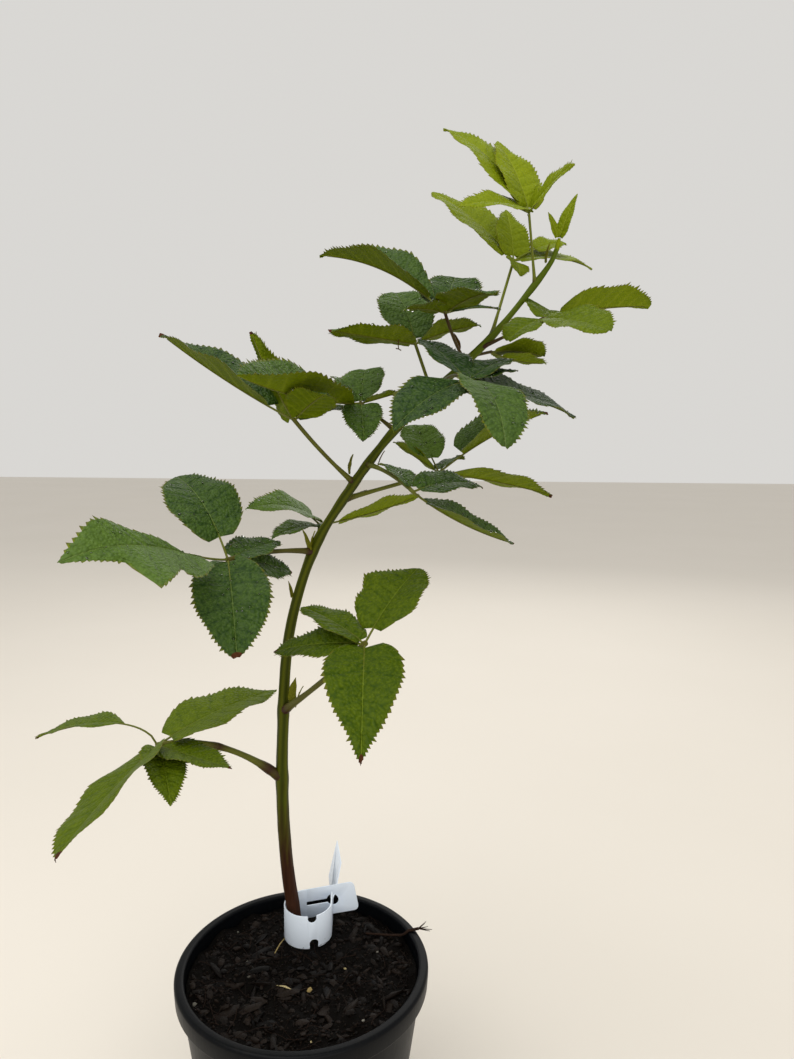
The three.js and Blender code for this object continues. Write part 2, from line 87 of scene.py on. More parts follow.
def wire(shader, **outputs):
    """Links each output to the socket of the shader that it is named for."""
    for key, output in outputs.items():
        shader.id_data.links.new(output, shader.inputs[key.replace("_", " ")])


def deselect():
    """Nothing is selected, in object mode."""
    if bpy.context.object and bpy.context.object.mode != "OBJECT":
        bpy.ops.object.mode_set(mode="OBJECT")
    bpy.ops.object.select_all(action="DESELECT")


def newest(name):
    """The object that was just added, with its name."""
    piece = bpy.context.object
    piece.name = name
    piece.data.name = name
    return piece


# Painted board: a faint mottle keeps the flat table top from looking synthetic.
table_paint, tree, shader = start_material("matt_painted_board", Roughness=0.8)
place = add_node(tree, "TexCoord", output="Object")
mottle = add_node(tree, "TexNoise", {"Vector": place, "Scale": 1 / TABLE_MOTTLE_WIDTH, "Detail": 3.0})
tint = add_node(tree, "Mix", {"Factor": mottle, 6: linear(TABLE_TINTS[0]), 7: linear(TABLE_TINTS[1])},
                data_type="RGBA", output=2)
wire(shader, Base_Color=tint)

deselect()
bpy.ops.mesh.primitive_plane_add(size=TABLE_SIZE, location=(0, 0, 0))
table = newest("table_top")
bpy.ops.object.transform_apply()
table.data.materials.append(table_paint)

camera_data = bpy.data.cameras.new("camera")
camera_data.sensor_fit = "VERTICAL"
camera_data.sensor_height = SENSOR_HEIGHT_MM
camera_data.lens = SENSOR_HEIGHT_MM * FOCAL_LENGTH_PX / PHOTO_HEIGHT_PX
camera_data.clip_start = 0.01
camera = bpy.data.objects.new("camera", camera_data)
bpy.context.collection.objects.link(camera)
camera.matrix_world = (Matrix.Translation(CAMERA_PLACE)
                       @ Matrix.Rotation(math.pi / 2 - CAMERA_PITCH, 4, "X")
                       @ Matrix.Rotation(CAMERA_ROLL, 4, "Z"))
bpy.context.scene.camera = camera


def add_light(name, place, target, size, watts, colour):
    """A square soft box at a place, turned to its target."""
    light = bpy.data.lights.new(name, "AREA")
    light.size = size
    light.energy = watts
    light.color = linear(colour)[:3]
    holder = bpy.data.objects.new(name, light)
    bpy.context.collection.objects.link(holder)
    holder.location = place
    holder.rotation_euler = (Vector(target) - Vector(place)).to_track_quat("-Z", "Y").to_euler()


add_light("window_above", (-0.4, -0.5, 1.7), (0, 0, 0.3), 1.4, 16, "#fffdf8")
add_light("window_front", (0.5, -1.6, 0.6), (0, 0, 0.3), 1.4, 9, "#fff8ee")
add_light("window_behind", (0.3, 1.4, 1.2), (0, 0, 0.35), 1.2, 6, "#fffdf8")

world = bpy.data.worlds.new("daylight")
world.use_nodes = True
sky = world.node_tree.nodes["Background"]
sky.inputs["Color"].default_value = linear(SKY_COLOUR)
sky.inputs["Strength"].default_value = SKY_STRENGTH
bpy.context.scene.world = world
bpy.context.scene.view_settings.view_transform = "Standard"

# Pot. A 14 cm nursery pot, injection moulded in charcoal polypropylene: a thin tapered wall, a
# deeper band that stands out under the rim, a rolled lip, and eight drain holes in the floor.
MM = 0.001
POT_HEIGHT = 122
RIM_RADIUS = 70
RIM_MOUTH_RADIUS = 64.5
RIM_BAND_HEIGHT = 11
MOUTH_TAPER = 0.5
WALL_TOP_RADIUS = 66
BASE_RADIUS = 51
WALL = 1.6
FLOOR = 2
BASE_ROUND = 1.5
FLOOR_ROUND = 1
BAND_STEP = 0.6
BAND_ROUND = 1
BAND_FOOT_DRAFT = 0.4
BAND_TOP_DRAFT = 0.1
LIP_DEPTH = 3
LIP_RADIUS = 2.0
INNER_LIP_RADIUS = 1.6
DRAIN_HOLES = 8
DRAIN_RADIUS = 4
DRAIN_CIRCLE_RADIUS = 40
DRAIN_SIDES = 24
POT_SIDES = 144


def arc(centre, radius, start, end, steps):
    """Points of an arc in a profile, with its angles in degrees from straight out."""
    turns = [math.radians(start + (end - start) * i / steps) for i in range(steps + 1)]
    return [(centre[0] + radius * math.cos(a), centre[1] + radius * math.sin(a)) for a in turns]


def turned(name, profile, sides):
    """A profile of radius and height in millimetres, drawn by extrusion and spun round the Z axis."""
    deselect()
    bpy.ops.mesh.primitive_plane_add(size=MM)
    piece = newest(name)
    bpy.ops.object.mode_set(mode="EDIT")
    bpy.ops.mesh.merge(type="CENTER")
    bpy.ops.transform.translate(value=(profile[0][0] * MM, 0, profile[0][1] * MM))
    for (r0, z0), (r1, z1) in zip(profile, profile[1:]):
        step = ((r1 - r0) * MM, 0, (z1 - z0) * MM)
        bpy.ops.mesh.extrude_region_move(TRANSFORM_OT_translate={"value": step})
    bpy.ops.mesh.select_all(action="SELECT")
    bpy.ops.mesh.spin(steps=sides, angle=2 * math.pi, center=(0, 0, 0), axis=(0, 0, 1))
    bpy.ops.mesh.select_all(action="SELECT")
    bpy.ops.mesh.remove_doubles(threshold=0.01 * MM)
    bpy.ops.mesh.normals_make_consistent(inside=False)
    bpy.ops.object.mode_set(mode="OBJECT")
    return piece


def activate(piece):
    """One piece alone is selected, and operators work on it."""
    deselect()
    piece.select_set(True)
    bpy.context.view_layer.objects.active = piece


def smooth(piece, degrees):
    """Smooth shading, with a crease where faces meet at more than an angle."""
    activate(piece)
    bpy.ops.object.shade_smooth_by_angle(angle=math.radians(degrees))


def modify(piece, kind, **settings):
    """Adds a modifier with its settings to a piece, and applies it."""
    modifier = piece.modifiers.new(kind.lower(), kind)
    for key, value in settings.items():
        setattr(modifier, key, value)
    activate(piece)
    bpy.ops.object.modifier_apply(modifier=modifier.name)


def cut(piece, cutter):
    """Takes a cutter's shape out of a piece, and removes the cutter."""
    modify(piece, "BOOLEAN", operation="DIFFERENCE", object=cutter)
    bpy.data.objects.remove(cutter)


band_foot = POT_HEIGHT - RIM_BAND_HEIGHT
lip_middle = POT_HEIGHT - LIP_RADIUS
pot = turned("pot_shell", [
    (0, 0),
    *arc((BASE_RADIUS - BASE_ROUND, BASE_ROUND), BASE_ROUND, -90, -8, 4),
    (WALL_TOP_RADIUS, band_foot - BAND_STEP),
    *arc((RIM_RADIUS - BAND_FOOT_DRAFT - BAND_ROUND, band_foot + BAND_ROUND), BAND_ROUND, -90, 0, 4),
    (RIM_RADIUS - BAND_TOP_DRAFT, lip_middle - LIP_DEPTH),
    *arc((RIM_RADIUS - LIP_RADIUS, lip_middle), LIP_RADIUS, 0, 90, 6),
    *arc((RIM_MOUTH_RADIUS + INNER_LIP_RADIUS, POT_HEIGHT - INNER_LIP_RADIUS), INNER_LIP_RADIUS,
         90, 180, 6),
    (RIM_MOUTH_RADIUS - MOUTH_TAPER, band_foot),
    (BASE_RADIUS - WALL, FLOOR + FLOOR_ROUND),
    (BASE_RADIUS - WALL - FLOOR_ROUND, FLOOR),
    (0, FLOOR),
], POT_SIDES)
for i in range(DRAIN_HOLES):
    turn = 2 * math.pi * i / DRAIN_HOLES
    hole_place = [DRAIN_CIRCLE_RADIUS * MM * c for c in (math.cos(turn), math.sin(turn), 0)]
    deselect()
    bpy.ops.mesh.primitive_cylinder_add(vertices=DRAIN_SIDES, radius=DRAIN_RADIUS * MM,
                                        depth=6 * FLOOR * MM, location=hole_place)
    cut(pot, newest("drain_cutter"))
smooth(pot, 40)

# Satin polypropylene: nearly black, with a painted bluish sheen in its base colour, fine scuffs that
# catch the light, and dust of dried mix in patches.
SCUFF_SPACING_MM = 1.2
DUST_PATCH_MM = 9
charcoal, tree, shader = start_material("satin_charcoal_polypropylene", IOR=1.49, Roughness=0.4,
                                        Specular_IOR_Level=0.1)
place = add_node(tree, "TexCoord", output="Object")
stretched = add_node(tree, "Mapping", {"Vector": place, "Scale": (1, 1, 0.15)})
scuffs = add_node(tree, "TexNoise", {"Vector": stretched, "Detail": 4.0,
                                     "Scale": 1 / (SCUFF_SPACING_MM * MM)})
dust = add_node(tree, "TexNoise", {"Vector": place, "Scale": 1 / (DUST_PATCH_MM * MM), "Detail": 6.0,
                                   "Roughness": 0.7})
dust_patches = add_node(tree, "MapRange", {"Value": dust, "From Min": 0.56, "From Max": 0.72,
                                           "To Max": 0.35})
# Both tints are bluish: a painted sheen on the near-black plastic, varied by the scuffs.
plastic_and_painted_sheen = add_node(tree, "Mix", {"Factor": scuffs, 6: linear("#030405"), 7: linear("#090b0f")},
                   data_type="RGBA", output=2)
dusty = add_node(tree, "Mix", {"Factor": dust_patches, 6: plastic_and_painted_sheen, 7: linear("#1c1815")},
                 data_type="RGBA", output=2)
gloss = add_node(tree, "MapRange", {"Value": scuffs, "To Min": 0.32, "To Max": 0.48})
dent = add_node(tree, "Bump", {"Height": scuffs, "Strength": 0.12, "Distance": 0.3 * MM})
wire(shader, Base_Color=dusty, Roughness=gloss, Normal=dent)
pot.data.materials.append(charcoal)
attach(pot, "root")
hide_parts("pot")

# Potting mix. Moist composted bark, coir fibre and crumbs, filled to 6 mm below the rim and level
# round the stem: one lumpy body, with loose chips, crumbs and fibres bedded in its top.
SOIL_LEVEL = 116
SOIL_SWELL = 2.2
SOIL_FLAT_RADIUS = 22
SOIL_LUMP_MM = 5
SOIL_GRIT_MM = 2
SOIL_RINGS = 84
SOIL_SIDES = 260
CLEAR = 0.3
LABEL_CENTRE = (-0.85, 32, SOIL_LEVEL + CLEAR)
SOIL_REACH = RIM_MOUTH_RADIUS - MOUTH_TAPER - CLEAR


def from_label(x, y):
    """How far a place on the mix is from the middle of the label's loop."""
    return math.hypot(x - LABEL_CENTRE[0], y - LABEL_CENTRE[1])


def soil_height(x, y):
    """The height of the mix at a place, all in millimetres: long waves under lumps and grit, which
    fade out to the level ground that the label stands on."""
    away = from_label(x, y) - SOIL_FLAT_RADIUS
    share = min(max(away / SOIL_FLAT_RADIUS, 0), 1)
    waves = math.sin(0.21 * x + 1.3) * math.cos(0.17 * y - 0.4) + 0.6 * math.sin(0.13 * (x + 2 * y))
    lumps = noise.noise((x / SOIL_LUMP_MM, y / SOIL_LUMP_MM, 2))
    lumps += 0.5 * noise.noise((x / SOIL_GRIT_MM, y / SOIL_GRIT_MM, 7))
    return SOIL_LEVEL + share * SOIL_SWELL * (0.6 * waves - 0.3) + (0.3 + 0.9 * share) * lumps - 0.5


mix = turned("potting_mix_body", [
    *((SOIL_REACH * i / SOIL_RINGS, SOIL_LEVEL) for i in range(SOIL_RINGS + 1)),
    (SOIL_REACH - 0.2, band_foot),
    (BASE_RADIUS - WALL - CLEAR - FLOOR_ROUND, FLOOR + CLEAR + FLOOR_ROUND),
    (BASE_RADIUS - WALL - CLEAR - 2 * FLOOR_ROUND, FLOOR + CLEAR),
    (0, FLOOR + CLEAR),
], SOIL_SIDES)
for vertex in mix.data.vertices:
    if vertex.co.z > (SOIL_LEVEL - 1) * MM:
        vertex.co.z = soil_height(vertex.co.x / MM, vertex.co.y / MM) * MM
smooth(mix, 180)


def joined_mesh(name, parts, materials):
    """One object from many parts. A part has its corners in metres, its faces, each face's material
    number, and values of named attributes for each corner."""
    corners, faces, slots, start = [], [], [], 0
    for part in parts:
        corners.append(part["corners"])
        faces.extend([[start + i for i in face] for face in part["faces"]])
        slots.extend(part["slots"])
        start += len(part["corners"])
    mesh = bpy.data.meshes.new(name)
    mesh.from_pydata(np.concatenate(corners).tolist(), [], faces)
    mesh.polygons.foreach_set("material_index", slots)
    for key in parts[0]["values"]:
        layer = mesh.attributes.new(key, "FLOAT", "POINT")
        layer.data.foreach_set("value", np.concatenate([part["values"][key] for part in parts]))
    for material in materials:
        mesh.materials.append(material)
    mesh.update()
    piece = bpy.data.objects.new(name, mesh)
    bpy.context.collection.objects.link(piece)
    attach(piece, "root")
    return piece


PHI = (1 + 5 ** 0.5) / 2
LUMP_ROUGHNESS = 0.28
LUMP_CORNERS = np.array([
    (-1, PHI, 0), (1, PHI, 0), (-1, -PHI, 0), (1, -PHI, 0), (0, -1, PHI), (0, 1, PHI),
    (0, -1, -PHI), (0, 1, -PHI), (PHI, 0, -1), (PHI, 0, 1), (-PHI, 0, -1), (-PHI, 0, 1),
]) / math.hypot(1, PHI)
LUMP_FACES = [
    (0, 11, 5), (0, 5, 1), (0, 1, 7), (0, 7, 10), (0, 10, 11), (1, 5, 9), (5, 11, 4), (11, 10, 2),
    (10, 7, 6), (7, 1, 8), (3, 9, 4), (3, 4, 2), (3, 2, 6), (3, 6, 8), (3, 8, 9), (4, 9, 5),
    (2, 4, 11), (6, 2, 10), (8, 6, 7), (9, 8, 1),
]


def lump(rng, place, size, turn, tilt, slot):
    """A rough twenty-faced lump: its half sizes, its turn about Z and its tilt."""
    count = len(LUMP_CORNERS)
    corners = LUMP_CORNERS * (1 + rng.uniform(-LUMP_ROUGHNESS, LUMP_ROUGHNESS, (count, 1))) * size
    spin = np.array(Matrix.Rotation(turn, 3, "Z") @ Matrix.Rotation(tilt, 3, "Y"))
    corners = (corners @ spin.T + place) * MM
    values = {"shade": np.full(count, rng.uniform(0, 1))}
    return {"corners": corners, "faces": LUMP_FACES, "slots": [slot] * len(LUMP_FACES), "values": values}


def tube(points, radii, sides, slot, shade):
    """A closed tube along points in millimetres, with a radius at each."""
    points = np.asarray(points, float)
    ahead = np.gradient(points, axis=0)
    ahead /= np.linalg.norm(ahead, axis=1)[:, None]
    side = np.where(np.abs(ahead[:, 1:2]) < 0.8, [[0, 1, 0]], [[1, 0, 0]])
    across = np.cross(ahead, side)
    across /= np.linalg.norm(across, axis=1)[:, None]
    up = np.cross(across, ahead)
    turns = 2 * math.pi * np.arange(sides) / sides
    ring = across[:, None] * np.cos(turns)[:, None] + up[:, None] * np.sin(turns)[:, None]
    corners = (points[:, None] + ring * np.asarray(radii)[:, None, None]).reshape(-1, 3) * MM
    rows = len(points)
    faces = [(i * sides + j, (i + 1) * sides + j, (i + 1) * sides + (j + 1) % sides,
              i * sides + (j + 1) % sides) for i in range(rows - 1) for j in range(sides)]
    faces.append(tuple(range(sides)))
    faces.append(tuple((rows - 1) * sides + j for j in reversed(range(sides))))
    values = {"shade": np.repeat(np.broadcast_to(shade, rows), sides)}
    return {"corners": corners, "faces": faces, "slots": [slot] * len(faces), "values": values}


BARK, STRAW, PERLITE, COIR = range(4)
CHIP_COUNT = 520
CHIP_LENGTHS = (1.2, 5.2)
SLAB_COUNT = 60
SLAB_LENGTHS = (4.5, 9)
SLABS_FROM_LABEL = 25
CRUMB_COUNT = 2000
CRUMB_SIZES = (0.25, 0.85)
FIBRE_COUNT = 150
FIBRE_LENGTHS = (6, 30)
FIBRE_RADII = (0.12, 0.3)
FIBRE_STEP = 2.5
POT_CLEARANCE = 0.5
ANY_TURN = (0, 6.3)
LABEL_RING = 16.5
STEM_RING = (6, 10)


def spot_on_mix(rng):
    """A random place on the mix, kept off the foot of the stem and the label's strip."""
    while True:
        radius = (SOIL_REACH - 2) * math.sqrt(rng.uniform())
        turn = rng.uniform(0, 2 * math.pi)
        x, y = radius * math.cos(turn), radius * math.sin(turn)
        ring = from_label(x, y)
        if ring > LABEL_RING or STEM_RING[0] < ring < STEM_RING[1]:
            return x, y


rng = np.random.default_rng(5)
chips = []
for _ in range(CHIP_COUNT):
    x, y = spot_on_mix(rng)
    long = rng.uniform(*CHIP_LENGTHS) * rng.uniform(0.4, 1)
    size = (long, long * rng.uniform(0.3, 0.7), rng.uniform(0.5, 1.3))
    if math.hypot(x, y) + long > SOIL_REACH - POT_CLEARANCE:
        continue
    place = (x, y, soil_height(x, y) + rng.uniform(-0.2, 0.5))
    chips.append(lump(rng, place, size, rng.uniform(*ANY_TURN), rng.uniform(-0.5, 0.5), BARK))
for _ in range(SLAB_COUNT):
    x, y = spot_on_mix(rng)
    long = rng.uniform(*SLAB_LENGTHS)
    if math.hypot(x, y) + long > SOIL_REACH - POT_CLEARANCE or from_label(x, y) < SLABS_FROM_LABEL:
        continue
    size = (long, long * rng.uniform(0.16, 0.4), rng.uniform(0.9, 1.7))
    place = (x, y, soil_height(x, y) + rng.uniform(0, 0.6))
    chips.append(lump(rng, place, size, rng.uniform(*ANY_TURN), rng.uniform(-0.25, 0.25), BARK))
for _ in range(CRUMB_COUNT):
    x, y = spot_on_mix(rng)
    half = rng.uniform(*CRUMB_SIZES)
    place = (x, y, soil_height(x, y) + 0.3 * half)
    chips.append(lump(rng, place, (half, half, half), rng.uniform(*ANY_TURN), rng.uniform(-1, 1), BARK))

# The few pale bits that stand out in the dark mix: a straw-coloured splinter, a tan pellet, and
# grains of perlite.
PALE_PELLETS = [((4.8, -14.5), 1.9, STRAW), ((-29.2, -6.5), 1.2, PERLITE), ((-44, 36.8), 1.0, PERLITE),
                ((-54.6, -26.2), 1.7, PERLITE), ((35.2, -38.7), 1.0, PERLITE), ((23.2, 2.5), 0.9, STRAW),
                ((-12, -41), 0.7, PERLITE), ((41, 18), 0.8, PERLITE), ((10, -52), 0.7, STRAW),
                ((-33, 8), 0.6, PERLITE)]
for (x, y), half, slot in PALE_PELLETS:
    place = (x, y, soil_height(x, y) + half * 0.5)
    size = (half, 0.7 * half, 0.7 * half)
    chips.append(lump(rng, place, size, rng.uniform(*ANY_TURN), 0.2, slot))


def fibre(rng, start, length, heading, thick, lift):
    """A crooked thread lying on the mix from a start, of a length and a thickness."""
    steps = max(4, int(length / FIBRE_STEP))
    x, y = start
    bend = rng.uniform(-0.09, 0.09)
    points = []
    for i in range(steps + 1):
        hump = lift * math.sin(math.pi * i / steps)
        points.append((x, y, soil_height(x, y) + 0.5 + thick + hump))
        heading += bend + rng.uniform(-0.22, 0.22)
        x += length / steps * math.cos(heading)
        y += length / steps * math.sin(heading)
        if math.hypot(x, y) > SOIL_REACH - 1:
            break
    if len(points) < 3:
        return None
    taper = np.linspace(1, 0.4, len(points)) * thick
    return tube(points, taper, 5, COIR, rng.uniform(0, 1))


for _ in range(FIBRE_COUNT):
    strand = fibre(rng, spot_on_mix(rng), rng.uniform(*FIBRE_LENGTHS), rng.uniform(*ANY_TURN),
                   rng.uniform(*FIBRE_RADII), rng.uniform(0, 1.6))
    if strand:
        chips.append(strand)
splinter = [(-13.2, -14.2), (-8, -15.4), (-1.9, -17.2)]
splinter = [(x, y, soil_height(x, y) + 1.3) for x, y in splinter]
chips.append(tube(splinter, [0.2, 0.5, 0.25], 6, STRAW, 1))
straw = [(-18, 13, 117), (-16, 19, 118.4), (-14, 25, 118)]
chips.append(tube(straw, [0.3, 0.4, 0.2], 5, STRAW, 0.2))

# A torn root lies on the mix at the right, climbs over the rim and frays into hairs.
ROOT_PATH = [(33.9, 31.9, 117), (41.1, 30.5, 117.4), (49.5, 29.6, 117.6), (55.5, 28.9, 118.2),
             (57.2, 27.2, 120.3), (59.2, 26.8, 122.6), (62.5, 27.1, 123), (65.2, 27.9, 123.1)]
ROOT_HAIR_TIPS = [(68.8, 28.4, 126), (70.9, 28.4, 124.1), (73.3, 28.4, 122.2), (72.1, 28.4, 121.2),
                  (69.7, 28.4, 127.3)]
ROOT_SHADE = 1.2
chips.append(tube(ROOT_PATH, np.linspace(0.55, 0.95, len(ROOT_PATH)), 6, COIR, ROOT_SHADE))
for tip in ROOT_HAIR_TIPS:
    chips.append(tube([*ROOT_PATH[-2:], tip], [0.5, 0.45, 0.15], 5, COIR, ROOT_SHADE))

# Moist bark: dark brown to black, matt with a slight wet gloss, rough at the scale of its fibres.
GRAIN_MM = 0.7


def mix_material(name, dark, light, roughness):
    """Bark, straw or fibre in two tints, dealt out to the bits by their shade value."""
    material, tree, shader = start_material(name, Roughness=roughness, Specular_IOR_Level=0.1)
    place = add_node(tree, "TexCoord", output="Object")
    shade = add_node(tree, "Attribute", attribute_name="shade", output="Fac")
    grain = add_node(tree, "TexNoise", {"Vector": place, "Scale": 1 / (GRAIN_MM * MM), "Detail": 5.0})
    blend = add_node(tree, "Math", {0: shade, 1: grain}, operation="MULTIPLY")
    tint = add_node(tree, "Mix", {"Factor": blend, 6: linear(dark), 7: linear(light)},
                    data_type="RGBA", output=2)
    dent = add_node(tree, "Bump", {"Height": grain, "Strength": 0.8, "Distance": 0.4 * MM})
    wire(shader, Base_Color=tint, Normal=dent)
    return material


bark = mix_material("moist_bark", "#010000", "#2b211a", 0.5)
straw_tan = mix_material("dry_straw", "#8a7647", "#e2d5a6", 0.7)
perlite = mix_material("perlite_grain", "#55534c", "#a5a298", 0.8)
coir = mix_material("coir_fibre", "#070403", "#33231a", 0.75)
loose_mix = joined_mesh("potting_mix_loose", chips, [bark, straw_tan, perlite, coir])
smooth(loose_mix, 60)

# The body under the loose bits is the same moist mix, with painted shade in its hollows: the mottle that
# dents it also darkens it where it dips.
CLOD_MM = 3.5
mix_base, tree, shader = start_material("moist_potting_mix", Roughness=0.8, Specular_IOR_Level=0.06)
place = add_node(tree, "TexCoord", output="Object")
clods_and_hollow_shade = add_node(tree, "TexNoise", {"Vector": place, "Scale": 1 / (CLOD_MM * MM), "Detail": 8.0,
                                    "Roughness": 0.7})
tint = add_node(tree, "Mix", {"Factor": clods_and_hollow_shade, 6: linear("#010100"), 7: linear("#0f0b09")},
                data_type="RGBA", output=2)
dent = add_node(tree, "Bump", {"Height": clods_and_hollow_shade, "Strength": 0.9, "Distance": 1.2 * MM})
wire(shader, Base_Color=tint, Normal=dent)
mix.data.materials.append(mix_base)
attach(mix, "root")
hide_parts("potting_mix")

# Cane. This year's woody stem, as thick as a pencil at its cut foot: brown and corky for a hand's
# width, then smooth green, bluntly ridged, and slightly swollen where each leaf grows out.
CANE_FOOT_RADIUS = 4.1
CANE_TIP_RADIUS = 1.2
CANE_FLARE = 0.3
CANE_FLARE_HEIGHT = 7
JOINT_SWELL = 0.45
JOINT_HALF_LENGTH = 6
CANE_RINGS = 460
CANE_SIDES = 30
CANE_STEPS_PER_BEND = 60
RIDGES = 5
RIDGE_DEPTH = 0.035
RIDGE_TWIST_MM = 40
KNOB_DEPTH = 0.03
KNOB_MM = 9
CANE_POINTS = [
    (-8, 32, SOIL_LEVEL), (-9.6, 31.8, 132), (-13, 31, 160), (-15, 29, 200), (-14, 26, 245),
    (-9, 22, 305), (5, 17, 352), (20, 13, 378), (46, 8, 414), (72, 5, 440), (97, 2, 464),
    (116, 0, 487), (126, -1, 501), (128.5, -1, 507),
]


def smooth_line(knots, steps):
    """A centripetal Catmull-Rom curve through knots, as many short straight steps."""
    knots = [np.array(k, float) for k in knots]
    knots = [2 * knots[0] - knots[1], *knots, 2 * knots[-1] - knots[-2]]
    line = []
    for p0, p1, p2, p3 in zip(knots, knots[1:], knots[2:], knots[3:]):
        d0, d1, d2 = (np.linalg.norm(b - a) ** 0.5 for a, b in ((p0, p1), (p1, p2), (p2, p3)))
        m1 = ((p1 - p0) / d0 - (p2 - p0) / (d0 + d1) + (p2 - p1) / d1) * d1
        m2 = ((p2 - p1) / d1 - (p3 - p1) / (d1 + d2) + (p3 - p2) / d2) * d1
        t = np.linspace(0, 1, steps, endpoint=False)[:, None]
        line.append((2 * t ** 3 - 3 * t ** 2 + 1) * p1 + (t ** 3 - 2 * t ** 2 + t) * m1
                    + (3 * t ** 2 - 2 * t ** 3) * p2 + (t ** 3 - t ** 2) * m2)
    return np.concatenate([*line, [knots[-2]]])


cane_line = smooth_line(CANE_POINTS, CANE_STEPS_PER_BEND)
run = np.concatenate([[0], np.cumsum(np.linalg.norm(np.diff(cane_line, axis=0), axis=1))])
cane_share = run / run[-1]


def cane_point(share):
    """The middle of the cane at a share of its length."""
    return np.array([np.interp(share, cane_share, cane_line[:, i]) for i in range(3)])


def cane_station(height):
    """The share of the cane's length that lies below a height."""
    return float(np.interp(height, cane_line[:, 2], cane_share))


def cane_taper(share):
    """The cane's even taper."""
    return CANE_FOOT_RADIUS + (CANE_TIP_RADIUS - CANE_FOOT_RADIUS) * share


# The height at which each leaf's stalk leaves the cane, in millimetres.
LEAF_HEIGHTS = {
    "leaf_left_low": 216, "leaf_right_low": 258, "leaf_left_middle": 351, "leaf_back_middle": 358,
    "leaf_right_middle_back": 380, "leaf_right_middle_front": 399, "leaf_left_high": 389,
    "leaf_small_left": 417, "leaf_inner_left": 436, "leaf_front": 440, "leaf_high_left": 452,
    "leaf_inner_right": 455, "leaf_right_high": 459, "leaf_high_back": 464, "leaf_top": 490,
}


def cane_radius(share, height):
    """The cane's thickness: its taper, a slight flare at the cut, and a swelling at each leaf."""
    flare = CANE_FLARE * math.exp((SOIL_LEVEL - height) / CANE_FLARE_HEIGHT)
    swelling = max(JOINT_SWELL * math.exp(-((height - joint) / JOINT_HALF_LENGTH) ** 2)
                   for joint in LEAF_HEIGHTS.values())
    return cane_taper(share) + flare + swelling


cane_shares = np.linspace(0, 1, CANE_RINGS)
cane_middle = np.array([cane_point(s) for s in cane_shares])
cane = tube(cane_middle, [cane_radius(s, m[2]) for s, m in zip(cane_shares, cane_middle)],
            CANE_SIDES, 0, 0)
turns = np.tile(2 * math.pi * np.arange(CANE_SIDES) / CANE_SIDES, CANE_RINGS)
heights = np.repeat(cane_middle[:, 2], CANE_SIDES)
axis = np.repeat(cane_middle, CANE_SIDES, axis=0) * MM
crests = np.cos(RIDGES * turns + heights / RIDGE_TWIST_MM)
ridge = 1 + RIDGE_DEPTH * crests
knobs = np.array([noise.noise((t * 1.5, h / KNOB_MM, 3)) for t, h in zip(turns, heights)]) * KNOB_DEPTH
cane["corners"] = axis + (cane["corners"] - axis) * (ridge + knobs)[:, None]
# The shade value is 1 on the ridge crests and 0 in the grooves: painted light and shade of the ridges.
cane["values"] = {"shade": (crests + 1) / 2}

# Green bark: a waxy satin skin, lighter and yellower on the ridges as painted light and darker in the
# grooves as painted shade, that turns brown and corky towards the foot, where the brown breaks up into
# long streaks.
STREAK_MM = 1.4
CORK_HEIGHTS = (0.16, 0.212)
TENDER_HEIGHTS = (0.39, 0.5)
green_bark, tree, shader = start_material("green_cane_bark", IOR=1.45, Roughness=0.48,
                                          Specular_IOR_Level=0.1)
place = add_node(tree, "TexCoord", output="Object")
ridge_light_and_shade = add_node(tree, "Attribute", attribute_name="shade", output="Fac")
height = add_node(tree, "SeparateXYZ", {0: place}, output="Z")
long_grain = add_node(tree, "Mapping", {"Vector": place, "Scale": (1, 1, 0.08)})
streaks = add_node(tree, "TexNoise", {"Vector": long_grain, "Detail": 5.0,
                                      "Scale": 1 / (STREAK_MM * MM)})
streak_shift = add_node(tree, "Math", {0: streaks, 1: 0.06, 2: -0.03}, operation="MULTIPLY_ADD")
broken_height = add_node(tree, "Math", {0: height, 1: streak_shift}, operation="ADD")
youth = add_node(tree, "MapRange", {"Value": broken_height, "From Min": CORK_HEIGHTS[0],
                                    "From Max": CORK_HEIGHTS[1]})
# The two greens follow the ridges: the light one is painted light on the crests, the dark one painted
# shade in the grooves.
green = add_node(tree, "Mix", {"Factor": ridge_light_and_shade, 6: linear("#2f3603"), 7: linear("#4c510a")},
                 data_type="RGBA", output=2)
tender = add_node(tree, "MapRange", {"Value": height, "From Min": TENDER_HEIGHTS[0],
                                     "From Max": TENDER_HEIGHTS[1]})
fresh = add_node(tree, "Mix", {"Factor": tender, 6: green, 7: linear("#4f600d")},
                 data_type="RGBA", output=2)
brown = add_node(tree, "Mix", {"Factor": streaks, 6: linear("#160a06"), 7: linear("#4a2c1c")},
                 data_type="RGBA", output=2)
skin = add_node(tree, "Mix", {"Factor": youth, 6: brown, 7: fresh}, data_type="RGBA", output=2)
dent = add_node(tree, "Bump", {"Height": streaks, "Strength": 0.35, "Distance": 0.3 * MM})
wire(shader, Base_Color=skin, Normal=dent)
cane_piece = joined_mesh("cane_bark", [cane], [green_bark])
smooth(cane_piece, 70)
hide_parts("cane")

# Leaf stalks and leaflets. Each leaf stands on a round stalk and has two to six saw-edged leaflets
# that spread from the stalk's end: thin, folded up along the midrib, puckered between the side veins.
OLD, GROWN, YOUNG = range(3)
USUAL_FOLD = 12


def leaflet(heading, rise, length, width, roll, **shape):
    """One leaflet: heading from +X towards +Y, rise above level, and roll of the blade about its
    midrib, in degrees; sizes in millimetres. The shape may give the bare neck, the bow as a share of
    the length and how near the stalk it crests, the place of the widest part, how pointed the tip
    is, how steeply the halves are folded up, the share of the tip that is dry, its tone from dark to
    light, and for each side (left, right) the shares and factors that bite into its edge."""
    usual = {"neck": 3, "bow": 0.05, "crest": 1, "widest": 0.3, "point": 1, "fold": USUAL_FOLD, "dry": 0,
             "tone": None, "left": None, "right": None}
    return {"heading": heading, "rise": rise, "length": length, "width": width, "roll": roll,
            **usual, **shape}


